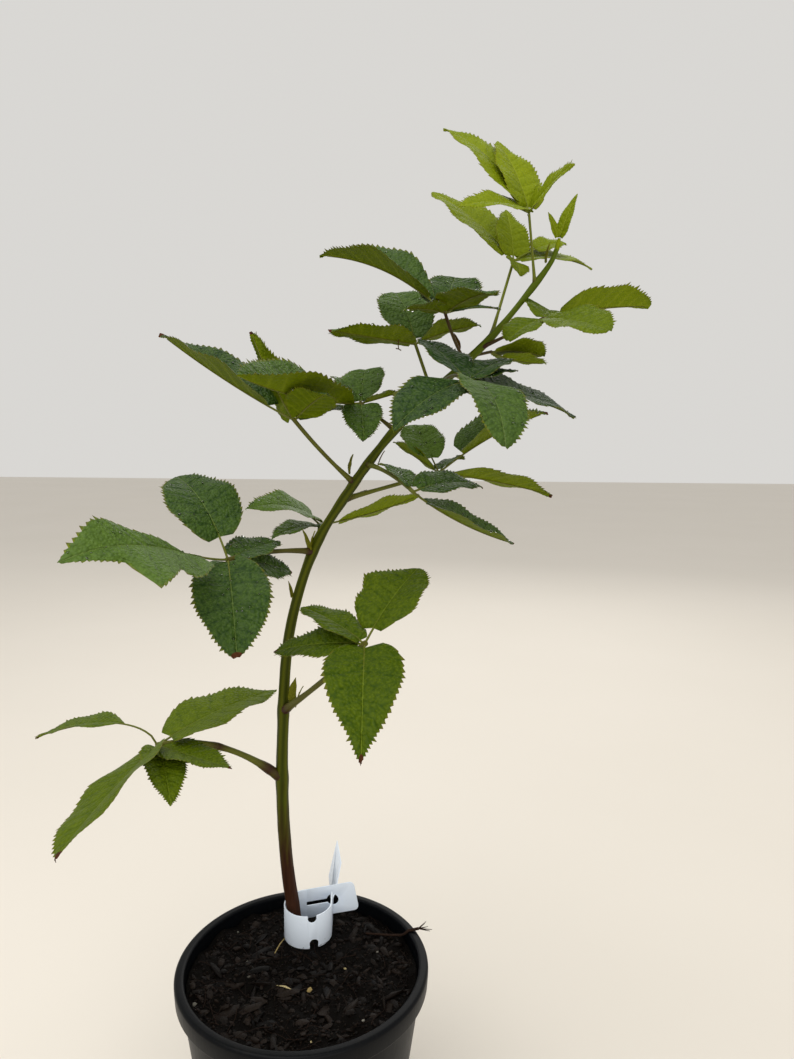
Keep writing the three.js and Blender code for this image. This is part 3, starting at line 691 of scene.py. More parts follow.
# A stalk has its heading and rise in degrees, and its length and bow in millimetres. Tones run from
# 0, dark, to 1, light, and the joints are the swellings along a stalk, as shares of its length.
LEAVES = [
    {"name": "leaf_left_low", "stalk": (-152, 25, 78, 9), "kind": GROWN, "tone": 0.5,
     "stalk_tone": 0.75, "joints": (0.03, 0.13, 0.53), "leaflets": [
        leaflet(168, -2, 74, 26, 2, neck=22, bow=0.15, crest=0.65, widest=0.45, dry=0.03),
        leaflet(-104, -12, 87, 40, 30, widest=0.38, point=0.8, bow=0.02, dry=0.05),
        leaflet(-66, -17, 47, 23, -12),
        leaflet(-27, -3, 50, 26, -2, bow=0, dry=0.05),
        leaflet(39, 12, 75, 40, 2, neck=8, widest=0.34, point=0.9),
    ]},
    {"name": "leaf_right_low", "stalk": (-51, 36, 96, -1.5), "kind": GROWN, "tone": 0.2,
     "stalk_tone": 0.55, "leaflets": [
        leaflet(-89, -32, 68, 37, 0, widest=0.27, point=1.25, dry=0.06),
        leaflet(50, 38, 52, 36, 2, neck=9, widest=0.45, point=0.6,
                left=((0, 1), (0.45, 1.05), (0.62, 1.3), (0.8, 1.15), (1, 1))),
        leaflet(158, -11, 52, 22, -28, point=0.8, dry=0.05),
        leaflet(143, 16, 44, 22, -4, widest=0.4, point=0.8),
    ]},
    {"name": "leaf_left_middle", "stalk": (-132, 2, 57, 2), "kind": OLD, "tone": 0.25,
     "stalk_tone": 0.35, "leaflets": [
        leaflet(136, 40, 60, 37, -12, neck=11, widest=0.42, point=0.7, bow=0.14),
        leaflet(-122, 7, 94, 38, -38, neck=20, widest=0.55, point=0.6, bow=0.1, crest=1.8, tone=0.75,
                left=((0, 2.6), (0.08, 1.5), (0.3, 1.25), (0.38, 0.9), (0.67, 1.6), (0.71, 0.5),
                      (0.9, 0.45), (1, 0.3)),
                right=((0.16, 0.08), (0.2, 0.2), (0.45, 0.4), (0.68, 0.8), (0.78, 0.85), (0.9, 0.6),
                       (1, 0.4))),
        leaflet(-74, -38, 59, 36, 0, neck=2, widest=0.38, point=0.75, dry=0.03, tone=0.15),
        leaflet(51, -16, 45, 25, 40, dry=0.05),
        leaflet(55, 7, 38, 21, 18),
    ]},
    # This leaf's tone above 1 is partly its own lighter colour and partly painted light, where the lamps
    # leave it in shade.
    {"name": "leaf_back_middle", "stalk": (94, 9, 29, 0), "kind": OLD, "tone": 1.2,
     "stalk_tone": 0.8, "leaflets": [
        leaflet(-139, 14, 50, 30, -22, neck=6, bow=0.14),
        leaflet(-128, -6, 38, 22, -4),
        leaflet(18, 15, 63, 26, -27, bow=-0.03, widest=0.5, neck=12),
    ]},
    {"name": "leaf_right_middle_back", "stalk": (20, 14, 58, 0), "kind": OLD, "tone": 0.6,
     "stalk_tone": 0.8, "leaflets": [
        leaflet(15, -11, 71, 31, -14, bow=0.02, neck=7, widest=0.4, dry=0.03),
        leaflet(136, 25, 39, 19, 38, bow=0, dry=0.04),
        leaflet(51, 15, 26, 15, -14, bow=0.12),
        # This leaflet's tone above 1 is partly its own lighter colour and partly painted light, where it
        # stands in shade.
        leaflet(125, 45, 37, 25, -12, neck=10, widest=0.5, point=0.55, tone=1.3),
        leaflet(7, 29, 70, 32, 8, neck=17, widest=0.32, fold=34, dry=0.04),
    ]},
    {"name": "leaf_right_middle_front", "stalk": (-59, -14, 48, 2), "kind": OLD, "tone": 0.3,
     "stalk_tone": 0.85, "leaflets": [
        leaflet(30, -25, 69, 26, 20, neck=10, bow=-0.04, widest=0.45, fold=24, dry=0.02),
        leaflet(128, 23, 31, 18, 10, bow=0.1),
        leaflet(29, 1, 41, 22, 22, bow=0.1, dry=0.03),
    ]},
    {"name": "leaf_left_high", "stalk": (-146, 43, 49, -1.5), "kind": OLD, "tone": 0.15,
     "stalk_tone": 0.6, "leaflets": [
        leaflet(161, 30, 90, 40, 0, neck=16, bow=-0.02, fold=30, dry=0.03),
        leaflet(142, 56, 55, 24, 72, bow=-0.03, dry=0.03),
        leaflet(-56, 20, 36, 24, -20, bow=0.04, widest=0.45),
        leaflet(65, 11, 45, 26, 12, widest=0.45),
    ]},
    {"name": "leaf_small_left", "stalk": (151, 34, 26, 0), "kind": OLD, "tone": 0.6,
     "stalk_tone": 0.3, "leaflets": [
        leaflet(-84, -36, 33, 21, 0, neck=2, point=0.8),
        leaflet(85, 45, 27, 24, -8, neck=2, widest=0.58, point=0.35),
        leaflet(130, 35, 25, 20, 6, neck=2, widest=0.55, point=0.4),
        leaflet(35, 15, 28, 16, -16, neck=2, bow=0),
        leaflet(-130, 7, 84, 32, -16, neck=8, bow=-0.04, widest=0.5, fold=42),
    ]},
    {"name": "leaf_inner_left", "stalk": (119, 56, 33, 0), "kind": OLD, "tone": 0.5,
     "stalk_tone": 0.8, "leaflets": [
        leaflet(-141, 3, 56, 26, 14, bow=0, widest=0.4, dry=0.03),
        leaflet(-3, 16, 36, 28, -10, widest=0.45),
        leaflet(112, 47, 42, 30, -10, widest=0.5, point=0.5, bow=0.1),
    ]},
    # This leaf's tone below 0 is partly its own dark colour and partly painted shade.
    {"name": "leaf_front", "stalk": (-78, -1, 48, 4), "kind": OLD, "tone": -0.15,
     "stalk_tone": 0.5, "leaflets": [
        leaflet(125, 31, 43, 25, 2, widest=0.4),
        leaflet(-134, -25, 53, 31, -14, widest=0.42, point=1, bow=0.08),
        leaflet(-76, -30, 57, 30, -12, widest=0.45, point=0.7, bow=0.14, tone=0.5),
        leaflet(33, -12, 72, 32, 26, neck=6, bow=0.03, widest=0.4),
        leaflet(47, 20, 36, 21, 6, widest=0.4),
        leaflet(38, 11, 34, 16, 12, dry=0.05),
    ]},
    {"name": "leaf_high_left", "stalk": (-129, 50, 30, -2.5), "kind": OLD, "tone": 0.15,
     "stalk_tone": 0.05, "leaflets": [
        leaflet(160, 25, 75, 29, -12, neck=11, bow=0.09, widest=0.42, point=1.1, fold=36),
        leaflet(78, 35, 40, 31, 4, widest=0.45, point=0.7),
        leaflet(-62, 6, 42, 27, 0, widest=0.4),
        leaflet(-142, -1, 26, 18, 8),
        leaflet(21, 7, 31, 8, 20, bow=0.06),
    ]},
    {"name": "leaf_inner_right", "stalk": (33, 13, 13, 0), "kind": GROWN, "tone": 0.5,
     "stalk_tone": 0.15, "leaflets": [
        leaflet(35, 0, 38, 22, -20, widest=0.5, point=0.6),
        leaflet(35, -5, 41, 18, -8, bow=-0.04, neck=8),
    ]},
    {"name": "leaf_right_high", "stalk": (-31, 21, 36, 0), "kind": GROWN, "tone": 0.6,
     "stalk_tone": 0.1, "leaflets": [
        leaflet(25, 9, 68, 26, -20, neck=10, bow=0.03, widest=0.42, point=0.6, fold=25),
        leaflet(-50, -13, 40, 28, 24, neck=2, widest=0.5, point=0.6),
        leaflet(-138, -26, 28, 20, -10, neck=2, widest=0.45, point=0.7),
        leaflet(72, 16, 27, 26, 20, neck=2, widest=0.5, point=0.6),
    ]},
    {"name": "leaf_high_back", "stalk": (61, 56, 53, 0), "kind": YOUNG, "tone": 0.5,
     "stalk_tone": 0.5, "leaflets": [
        leaflet(142, 39, 70, 30, -16, neck=6, widest=0.35),
        leaflet(98, 59, 36, 20, 12),
        leaflet(23, 0, 51, 22, 26, bow=0.08),
        leaflet(20, 20, 34, 17, 30, bow=0.08, neck=14),
        leaflet(-86, -33, 20, 14, -25, neck=2),
    ]},
    {"name": "leaf_top", "stalk": (-124, 74, 35, 0), "kind": YOUNG, "tone": 0.6,
     "stalk_tone": 0.6, "leaflets": [
        leaflet(143, 44, 71, 27, -18, neck=6, bow=0.08),
        leaflet(124, 58, 47, 27, 0, widest=0.35),
        leaflet(-71, 15, 42, 15, 62, bow=0.03),
        leaflet(-148, -5, 43, 21, -32, bow=0.08),
        leaflet(59, 57, 19, 11, -28),
    ]},
]


def direction(heading, rise):
    """A heading and a rise in degrees as a direction."""
    turn, lift = math.radians(heading), math.radians(rise)
    return np.array([math.cos(lift) * math.cos(turn), math.cos(lift) * math.sin(turn), math.sin(lift)])


def leaflet_axes(plan):
    """The directions along a leaflet, across it, and square to its face."""
    along = direction(plan["heading"], plan["rise"])
    normal = np.array([0, 0, 1.0]) - along * along[2]
    normal /= np.linalg.norm(normal)
    roll = math.radians(plan["roll"])
    normal = normal * math.cos(roll) + np.cross(along, normal) * math.sin(roll)
    return along, np.cross(along, normal), normal


def blade_share(s, widest, point):
    """Half the width of a pointed oval blade, as a share of its greatest half width."""
    s = np.clip(s, 0, 1)
    return (s / widest) ** (point * widest / (1 - widest)) * ((1 - s) / (1 - widest)) ** point


def bow_height(plan, reach):
    """How far the midrib arches off its straight line, at shares of the leaflet's length."""
    up = np.clip(reach, 0, 1) ** plan["crest"]
    return 4 * plan["bow"] * plan["length"] * up * (1 - up)


def grid_faces(rows, columns, reverse):
    """Faces of a grid of corner numbers, with corners that coincide written once."""
    faces = []
    for lower, upper in zip(rows, rows[1:]):
        for j in range(columns - 1):
            face = [lower[j], lower[j + 1], upper[j + 1], upper[j]]
            face = [c for k, c in enumerate(face) if c != face[k - 1]]
            faces.append(face[::-1] if reverse else face)
    return faces


# The sizes of a blade's details. Its thickness, midrib, teeth, puckers and crinkles are in
# millimetres, and side veins, furrows and margins are shares of a vein's space or of the half width.
UPPER, UNDER, DRY_TIP = range(3)
BLADE_COLUMNS = (0, 0.04, 0.14, 0.34, 0.58, 0.8, 0.93, 1)
BLADE_THICKNESS = 0.3
FULL_LENGTH = 45
HEART = 0.05
VEIN_PAIRS = 8
VEIN_SWEEP = 0.55
MIDRIB_WIDTH = 0.4
SIDE_VEIN_WIDTH = 0.2
SIDE_VEIN_STRENGTH = 0.55
TEETH_PER_VEIN = 3
TOOTH_STEPS = ((-0.3, 0), (0.3, 0.25), (1.0, 0.9))
TOOTH_LENGTH = 0.85
TOOTH_SPREAD = 0.35
GREAT_TOOTH = 0.6
PUCKER = 0.3
PUCKER_MARGIN = 0.3
CRINKLE = 0.12
EDGE_WAVE = 0.03
WAVES_PER_BLADE = 2.3
FURROW_WIDTH = 0.22
RIB_MARGIN = 0.1
TONE_SPREAD = 0.12
FURROW_SHADE_DEPTH = 0.18


def blade(rng, root, plan, tone, teeth=1):
    """A leaflet's blade as a closed thin shell, with the upper face, the underside and the dried tip
    in three materials. Each side vein ends in a great tooth with lesser teeth between, all pointing
    ahead, and the blade swells up between the veins."""
    along, across, normal = leaflet_axes(plan)
    columns = np.array([-w for w in reversed(BLADE_COLUMNS[1:])] + list(BLADE_COLUMNS))
    steps = len(TOOTH_STEPS) * TEETH_PER_VEIN
    rows = VEIN_PAIRS * steps
    number = np.arange(rows + 1)[:, None]
    row = number / rows
    w = columns[None, :]
    s = row + VEIN_SWEEP * np.abs(w) * row ** 0.9 * (1 - row) ** 1.1
    half = 0.5 * plan["width"] * blade_share(s, plan["widest"], plan["point"])
    for key, side in (("left", w < 0), ("right", w > 0)):
        if plan[key]:
            bite = np.interp(s, [c[0] for c in plan[key]], [c[1] for c in plan[key]])
            half = np.where(side, half * bite, half)

    # The saw edge, and each corner's place in the plane of the blade.
    size = min(1, plan["length"] / FULL_LENGTH)
    outward, ahead = np.array(TOOTH_STEPS)[number % len(TOOTH_STEPS)].transpose(2, 0, 1)
    great = 1 + GREAT_TOOTH * (number % steps >= steps - len(TOOTH_STEPS))
    saw = TOOTH_LENGTH * size * teeth * great * np.clip(9 * row, 0, 1) * np.clip(7 * (1 - row), 0, 1)
    saw = saw * (1 + TOOTH_SPREAD * rng.uniform(-1, 1, (rows + 1, 1)))
    rim = np.abs(w) == 1
    sideways = w * half + np.where(rim, np.sign(w) * outward * saw, 0)
    forward = np.where(rim, ahead * saw, 0) - HEART * plan["length"] * (1 - row) ** 7 * w ** 2
    neck = plan["neck"] / plan["length"]
    reach = neck + (1 - neck) * s

    # Its height over that plane: bow, fold, swellings between the veins, crinkles and a wavy edge.
    lift = bow_height(plan, reach) + np.abs(sideways) * math.tan(math.radians(plan["fold"]))
    vein_away = np.abs((number / steps + 0.5) % 1 - 0.5) * 2
    off_rib = 1 - np.exp(-np.abs(w) / RIB_MARGIN)
    swell = (1 - np.exp(-(vein_away / PUCKER_MARGIN) ** 2)) * off_rib * (1 - 0.6 * w ** 2)
    lift = lift + PUCKER * size * swell * np.clip(5 * (1 - row), 0, 1)
    lift = lift + CRINKLE * rng.uniform(-1, 1, lift.shape) * (np.abs(w) > 0)
    waves = np.sin(2 * math.pi * (WAVES_PER_BLADE * s + rng.uniform()) + np.where(w > 0, 2, 0))
    lift = lift + EDGE_WAVE * plan["width"] * waves * w ** 2 - EDGE_WAVE * plan["width"] * w ** 4
    middle = (root + (reach * plan["length"] + forward)[..., None] * along
              + sideways[..., None] * across + lift[..., None] * normal)

    # Values for the colours: how near a vein, how near the margin and how light each corner is, with
    # painted shade along the side veins' furrows on the upper face.
    midrib = np.exp(-(np.abs(w) * half / MIDRIB_WIDTH) ** 2)
    side_vein = SIDE_VEIN_STRENGTH * np.exp(-(vein_away / SIDE_VEIN_WIDTH) ** 2)
    vein = np.maximum(midrib, side_vein * (1 - 0.55 * np.abs(w)))
    edge = np.clip((np.abs(w) - 0.9) / 0.1, 0, 1) * np.where(outward > 0.5, 1.0, 0.55)
    furrow_shade = np.exp(-(vein_away / FURROW_WIDTH) ** 2) * off_rib
    level = tone + TONE_SPREAD * rng.uniform(-1, 1)
    # Painted shade: the upper face is darker along the furrows, while the underside keeps the leaflet's
    # level.
    upper_values = np.stack([vein, edge, level + FURROW_SHADE_DEPTH * (0.2 - furrow_shade)], axis=2)

    # The shell: both faces share the rim, and each end is one corner.
    inner = np.abs(columns) < 1
    count = len(columns)
    lift_off = np.where(inner, BLADE_THICKNESS / 2, 0)[:, None] * normal
    upper_rows, lower_rows, corners, values = [], [], [], []
    for i in range(rows + 1):
        start = len(corners)
        if i in (0, rows):
            corners.append(middle[i, count // 2])
            values.append(upper_values[i, count // 2])
            upper_rows.append([start] * count)
            lower_rows.append([start] * count)
            continue
        under_values = upper_values[i, inner]
        under_values[:, 2] = level
        corners.extend(middle[i] + lift_off)
        corners.extend((middle[i] - lift_off)[inner])
        values.extend(upper_values[i])
        values.extend(under_values)
        upper_rows.append(list(range(start, start + count)))
        lower_rows.append([start, *range(start + count, start + 2 * count - 2), start + count - 1])
    faces = grid_faces(upper_rows, count, False) + grid_faces(lower_rows, count, True)
    dry_from = int(rows * (1 - plan["dry"]))
    row_of = [i for i in range(rows) for _ in range(count - 1)]
    slots = [DRY_TIP if i >= dry_from else side for side in (UPPER, UNDER) for i in row_of]
    values = dict(zip(("vein", "rim", "shade"), np.array(values).T))
    return {"corners": np.array(corners) * MM, "faces": faces, "slots": slots, "values": values}


STALK_SHARE = 0.48
STALK_FOOT_SHARE = 0.75
STALK_STEPS = 26
STALK_JOINTS = (0.03,)
JOINT_LENGTH = 0.05
JOINT_GIRTH = 0.3
JOINT_FLUSH = 0.8
MIDRIB_FOOT_RADIUS = 0.62
MIDRIB_TIP_RADIUS = 0.16
MIDRIB_STEPS = 22
MIDRIB_REACH = 0.94
MIDRIB_DEPTH = 0.35
MIDRIB_TONE = 0.85


def stalk_line(leaf):
    """The middle of a leaf's stalk, from the cane's axis to the place where its leaflets spread."""
    station = cane_station(LEAF_HEIGHTS[leaf["name"]])
    start = cane_point(station)
    heading, rise, length, bow = leaf["stalk"]
    hub = start + direction(heading, rise) * length
    bend = (start + hub) / 2 + np.array([0, 0, 2 * bow])
    t = np.linspace(0, 1, STALK_STEPS)[:, None]
    return station, (1 - t) ** 2 * start + 2 * t * (1 - t) * bend + t ** 2 * hub


def midrib_line(root, plan):
    """The middle of the midrib that stands out under a blade."""
    along, _, normal = leaflet_axes(plan)
    reach = np.linspace(0, MIDRIB_REACH, MIDRIB_STEPS)
    middle = root + np.multiply.outer(reach * plan["length"], along)
    middle = middle + np.multiply.outer(bow_height(plan, reach), normal)
    return middle - normal * MIDRIB_DEPTH * reach[:, None] ** 0.3


blades = {OLD: [], GROWN: [], YOUNG: []}
stalks = []
rng = np.random.default_rng(11)
for leaf in LEAVES:
    skin = leaf["kind"] == YOUNG
    station, line = stalk_line(leaf)
    t = np.linspace(0, 1, STALK_STEPS)
    share = STALK_FOOT_SHARE + (STALK_SHARE - STALK_FOOT_SHARE) * np.minimum(3 * t, 1)
    joints = sum(np.exp(-((t - place) / JOINT_LENGTH) ** 2) for place in leaf.get("joints", STALK_JOINTS))
    stalks.append(tube(line, cane_taper(station) * share * (1 + JOINT_GIRTH * joints), 10, skin,
                       leaf["stalk_tone"] - JOINT_FLUSH * joints))
    end = line[-1] - line[-2]
    root = line[-1] - end / np.linalg.norm(end)
    for plan in leaf["leaflets"]:
        tone = leaf["tone"] if plan["tone"] is None else plan["tone"]
        blades[leaf["kind"]].append(blade(rng, root, plan, tone))
        size = min(1, plan["length"] / FULL_LENGTH)
        radii = np.linspace(MIDRIB_FOOT_RADIUS, MIDRIB_TIP_RADIUS, MIDRIB_STEPS) * size
        stalks.append(tube(midrib_line(root, plan), radii, 6, skin, MIDRIB_TONE))


# Leaf tissue: a satin green upper face with thin pale veins and fine wrinkles with painted shade, a matt
# olive underside with stronger veins and painted light that shines through the blade, and a pale hairline
# margin whose tooth tips are flushed brown.
WRINKLE_MM = 1.3
BLOTCH_MM = 6
MARGIN_TINT = "#6e6a22"
TOOTH_TINT = "#4a2a14"


def leaf_material(name, dark, light, vein, roughness, strength, faintest, gloss, relief_mm):
    """One face of the leaves in two tints, dealt out leaflet by leaflet, with paler veins and painted
    shade in its wrinkles.
    """
    material, tree, shader = start_material(name, IOR=1.45, Roughness=roughness,
                                            Specular_IOR_Level=gloss)
    place = add_node(tree, "TexCoord", output="Object")
    shade = add_node(tree, "Attribute", attribute_name="shade", output="Fac")
    veins = add_node(tree, "Attribute", attribute_name="vein", output="Fac")
    rim = add_node(tree, "Attribute", attribute_name="rim", output="Fac")
    mottle = add_node(tree, "TexNoise", {"Vector": place, "Scale": 1 / (BLOTCH_MM * MM), "Detail": 6.0,
                                         "Roughness": 0.7})
    wrinkle_cells_and_shade = add_node(tree, "TexVoronoi", {"Vector": place, "Scale": 1 / (WRINKLE_MM * MM)},
                     feature="SMOOTH_F1")
    blotched = add_node(tree, "Math", {0: shade, 1: mottle}, operation="ADD")
    # The wrinkle cells darken the colour towards their edges: painted shade of the wrinkles, besides the
    # bump they give.
    mixed = add_node(tree, "Math", {0: wrinkle_cells_and_shade, 1: -0.9, 2: blotched}, operation="MULTIPLY_ADD")
    halved = add_node(tree, "MapRange", {"Value": mixed, "From Min": -0.15, "From Max": 1.2})
    tint = add_node(tree, "Mix", {"Factor": halved, 6: linear(dark), 7: linear(light)},
                    data_type="RGBA", output=2)
    vein_part = add_node(tree, "MapRange", {"Value": veins, "From Min": faintest, "To Max": strength})
    veined = add_node(tree, "Mix", {"Factor": vein_part, 6: tint, 7: linear(vein)},
                      data_type="RGBA", output=2)
    margin = add_node(tree, "MapRange", {"Value": rim, "From Min": 0.35, "From Max": 0.6,
                                         "To Max": 0.45})
    edged = add_node(tree, "Mix", {"Factor": margin, 6: veined, 7: linear(MARGIN_TINT)},
                     data_type="RGBA", output=2)
    tips = add_node(tree, "MapRange", {"Value": rim, "From Min": 0.7, "From Max": 1.0, "To Max": 0.7})
    tipped = add_node(tree, "Mix", {"Factor": tips, 6: edged, 7: linear(TOOTH_TINT)},
                      data_type="RGBA", output=2)
    relief = add_node(tree, "Math", {0: veins, 1: -0.5, 2: wrinkle_cells_and_shade}, operation="MULTIPLY_ADD")
    dent = add_node(tree, "Bump", {"Height": relief, "Strength": 0.9, "Distance": relief_mm * MM})
    wire(shader, Base_Color=tipped, Normal=dent)
    return material


# Withered tissue: the ends of some leaflets have dried to a dull mottled brown.
RUST_MM = 1.5
dry_tip, tree, shader = start_material("dry_leaf_tip", Roughness=0.7, Specular_IOR_Level=0.1)
place = add_node(tree, "TexCoord", output="Object")
rust = add_node(tree, "TexNoise", {"Vector": place, "Scale": 1 / (RUST_MM * MM)})
tint = add_node(tree, "Mix", {"Factor": rust, 6: linear("#24110a"), 7: linear("#5a3216")},
                data_type="RGBA", output=2)
wire(shader, Base_Color=tint)

# Each age has its gloss, the height of its wrinkles in millimetres, and the dark, light and vein tints
# of its upper face and of its underside; the undersides' own paler olive is raised further by painted
# light that shines through the blade.
LEAF_TINTS = [
    ("old", 0.2, 1.1, ("#183207", "#516b24", "#6f8244"), ("#4a5a02", "#69780c", "#7f8a1e")),
    ("grown", 0.1, 0.8, ("#2d4202", "#60700a", "#7a8a2c"), ("#526604", "#73810e", "#86902a")),
    ("young", 0.08, 0.4, ("#566804", "#7a8710", "#939c34"), ("#667608", "#7f8b14", "#9aa238")),
]
LEAF_GROUPS = {kind: [leaf["name"] for leaf in LEAVES if leaf["kind"] == kind] for kind in blades}
for kind, (age, gloss, relief_mm, top_tints, under_tints) in enumerate(LEAF_TINTS):
    upper_face = leaf_material(f"waxy_{age}_leaf", *top_tints, 0.5, 0.55, 0.5, gloss, relief_mm)
    underside = leaf_material(f"matt_{age}_leaf_underside", *under_tints, 0.6, 0.75, 0, 0.05, 0.5)
    piece = joined_mesh(f"leaf_blades_{age}", blades[kind], [upper_face, underside, dry_tip])
    smooth(piece, 65)
    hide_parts(*LEAF_GROUPS[kind])

# Rain drops. Small clear beads of water that lie on the upper faces of the broad old leaflets, a
# round cap each, flattened where it sits on the leaf.
DROPS_PER_LEAFLET = 18
DROP_RADII = (0.35, 0.9)
DROP_PROFILE = ((-0.2, 1), (0.1, 1), (0.35, 0.8), (0.55, 0.45), (0.62, 0.08))
drop_rng = np.random.default_rng(23)
drops = []
for part in blades[OLD]:
    tops = [face for face, slot in zip(part["faces"], part["slots"]) if slot == UPPER and len(face) == 4]
    for index in drop_rng.integers(len(tops), size=DROPS_PER_LEAFLET):
        a, b, c = (part["corners"][corner] / MM for corner in tops[index][:3])
        normal = np.cross(b - a, c - a)
        radius = drop_rng.uniform(*DROP_RADII)
        heights, widths = np.array(DROP_PROFILE).T * radius
        rise = heights[:, None] * normal / np.linalg.norm(normal)
        drops.append(tube((a + c) / 2 + rise, widths, 8, 0, 0))
water = start_material("clear_water_drop", IOR=1.33, Roughness=0.03, Transmission_Weight=1.0)[0]
drop_piece = joined_mesh("rain_drops", drops, [water])
smooth(drop_piece, 80)

# Stalk skin: smooth and satin, green with a brownish flush on the stalks and midribs of the older
# leaves, and clear yellow-green on those of the young ones.
FLUSH_MM = 9


def stalk_material(name, dark, light):
    """The satin skin of the stalks in two tints, dealt out stalk by stalk."""
    material, tree, shader = start_material(name, IOR=1.45, Roughness=0.5, Specular_IOR_Level=0.22)
    place = add_node(tree, "TexCoord", output="Object")
    shade = add_node(tree, "Attribute", attribute_name="shade", output="Fac")
    flush = add_node(tree, "TexNoise", {"Vector": place, "Scale": 1 / (FLUSH_MM * MM), "Detail": 3.0})
    mixed = add_node(tree, "Math", {0: flush, 1: 0.5, 2: shade}, operation="MULTIPLY_ADD")
    share = add_node(tree, "MapRange", {"Value": mixed, "From Min": 0.2, "From Max": 1.15})
    tint = add_node(tree, "Mix", {"Factor": share, 6: linear(dark), 7: linear(light)},
                    data_type="RGBA", output=2)
    wire(shader, Base_Color=tint)
    return material


old_stalk = stalk_material("flushed_green_stalk", "#341d10", "#5d621c")
young_stalk = stalk_material("clear_green_stalk", "#4d4a12", "#747f22")
stalk_piece = joined_mesh("leaf_stalks", stalks, [old_stalk, young_stalk])
smooth(stalk_piece, 60)

# Growing tip. Two folded young leaflets, still pressed together, stand out of the short green sheath
# that the cane ends in, and are of the same tissue as the young leaves.
TIP_SHEATH_RUN = np.array([1, 0, 5])
TIP_LEAFLETS = [leaflet(-10, 70, 25, 7, 60), leaflet(180, 70, 16, 5, -60)]


def veinless(part):
    """A part without veins or margin, to be joined with blades."""
    part["values"].update({key: np.zeros(len(part["corners"])) for key in ("vein", "rim")})
    return part


cane_end = cane_line[-1]
cane_end_run = (cane_line[-1] - cane_line[-2]) / np.linalg.norm(cane_line[-1] - cane_line[-2])
tip_root = cane_end + cane_end_run * CLEAR
tip_line = [cane_end - cane_end_run, tip_root, tip_root + TIP_SHEATH_RUN / 2, tip_root + TIP_SHEATH_RUN]
tip_parts = [veinless(tube(tip_line, [1.2, 1.25, 1.2, 0.7], 10, UNDER, 0.5))]
for plan in TIP_LEAFLETS:
    tip_parts.append(blade(rng, tip_root + TIP_SHEATH_RUN / 2, plan, 0.5, 0.3))
tip_upper = bpy.data.materials["waxy_young_leaf"]
tip_under = bpy.data.materials["matt_young_leaf_underside"]
tip_piece = joined_mesh("growing_tip", tip_parts, [tip_upper, tip_under, dry_tip])
smooth(tip_piece, 65)
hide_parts("shoot_tip")

# Bracts and buds. A pair of narrow green bracts, a papery brown one or a pointed bud sits where some
# of the leaf stalks leave the cane, each as thin as a leaflet and without teeth.
BROWN, GREEN = range(2)
BRACTS = [
    ((-7.3, 19, 324.6), leaflet(137, 72, 9.6, 2.4, 0, neck=0.3), GREEN),
    ((-7.5, 20, 262), leaflet(31, 83, 17, 6.5, 20, neck=0.3, widest=0.4), GREEN),
    ((-5.5, 19, 262), leaflet(14, 71, 13, 3.6, -20, neck=0.3), GREEN),
    ((2.8, 14, 352), leaflet(-146, 72, 12.5, 4, 10, neck=0.3), GREEN),
    ((4.2, 14, 352), leaflet(10, 80, 11, 3.6, -20, neck=0.3), GREEN),
    ((25, 10, 393.5), leaflet(26, 80, 11, 4.2, 0, neck=0.3, widest=0.4), GREEN),
    ((40, 9, 398), leaflet(5, 67, 9, 2.0, 0, neck=0.3), BROWN),
    ((24, 18, 379), leaflet(23, 27, 12, 3.4, 0, neck=0.3), BROWN),
    ((123.2, -2.4, 500), leaflet(15, 80, 10, 3, 0, neck=0.3), GREEN),
    ((81, 1.5, 458), leaflet(120, 60, 10, 3, 0, neck=0.3), BROWN),
]
bract_parts = []
for place, plan, slot in BRACTS:
    part = blade(rng, np.array(place, float), plan, rng.uniform(), 0)
    part["slots"] = [slot] * len(part["slots"])
    bract_parts.append(part)

# A dried thread with a bent end hangs under the leaf inside the cane's bend.
hanging = [(50.2, -5, 462), (50, -5.2, 459.5), (50.3, -5.4, 457.3)]
bar = [(48.9, -5.3, 457.6), (50.3, -5.4, 457.3), (51.6, -5.4, 456.6)]
for points in (hanging, bar):
    bract_parts.append(veinless(tube(points, [0.32, 0.25, 0.3], 5, BROWN, 0.2)))

# Bract tissue: thin, matt and nearly without veins, dried brown or still yellow-green.
brown_bract = leaf_material("papery_brown_bract", "#33220a", "#4f3b14", "#6b5424", 0.6, 0.3, 0, 0.1, 0.5)
green_bract = leaf_material("yellow_green_bract", "#4f5008", "#6d6e14", "#84822a", 0.5, 0.3, 0, 0.1, 0.5)
bract_piece = joined_mesh("bracts_and_buds", bract_parts, [brown_bract, green_bract])
smooth(bract_piece, 65)

# Loop label. A blank white strip of polypropylene, die cut and bent round the stem on the soil: its
# pointed tail runs back through the keyhole in its tab, with thumb notches in the strip's edges.
LABEL_INNER_RADIUS = 13.5
LABEL_THICKNESS = 0.7
LABEL_WIDTH = 20
LABEL_EDGE_ROUND = 0.12
CUTTER_LENGTH = 8
BAND_SIDES = 180
BAND_FROM = 100
NOTCH_RADIUS = 2.5
NOTCH_BITES = [(3, LABEL_WIDTH), (3, LABEL_WIDTH - 1.6), (4, 0), (4, 2), (4, 3)]
TAB_LEFT = -8
TAB_RIGHT = 27.8
TAB_INSET = 0.8
TAB_CORNER = 3
TAB_MIDDLE_HEIGHT = 127.5
TAB_TILT = math.radians(11)
KEYHOLE_X = 13
KEYHOLE_RADIUS = 3.6
SLOT_END = -4
SLOT_HALF_WIDTH = 1.3
TAIL_OUTLINE = [(0, 10), (12, 10), (16, 2.4), (22, 2.4), (46, 6.5), (76, 0)]
TAIL_LIFT = math.radians(7)
TAIL_HEADING = math.radians(91.5)
TAIL_TWIST = math.radians(38)
TAIL_TWIST_FROM = 21.9


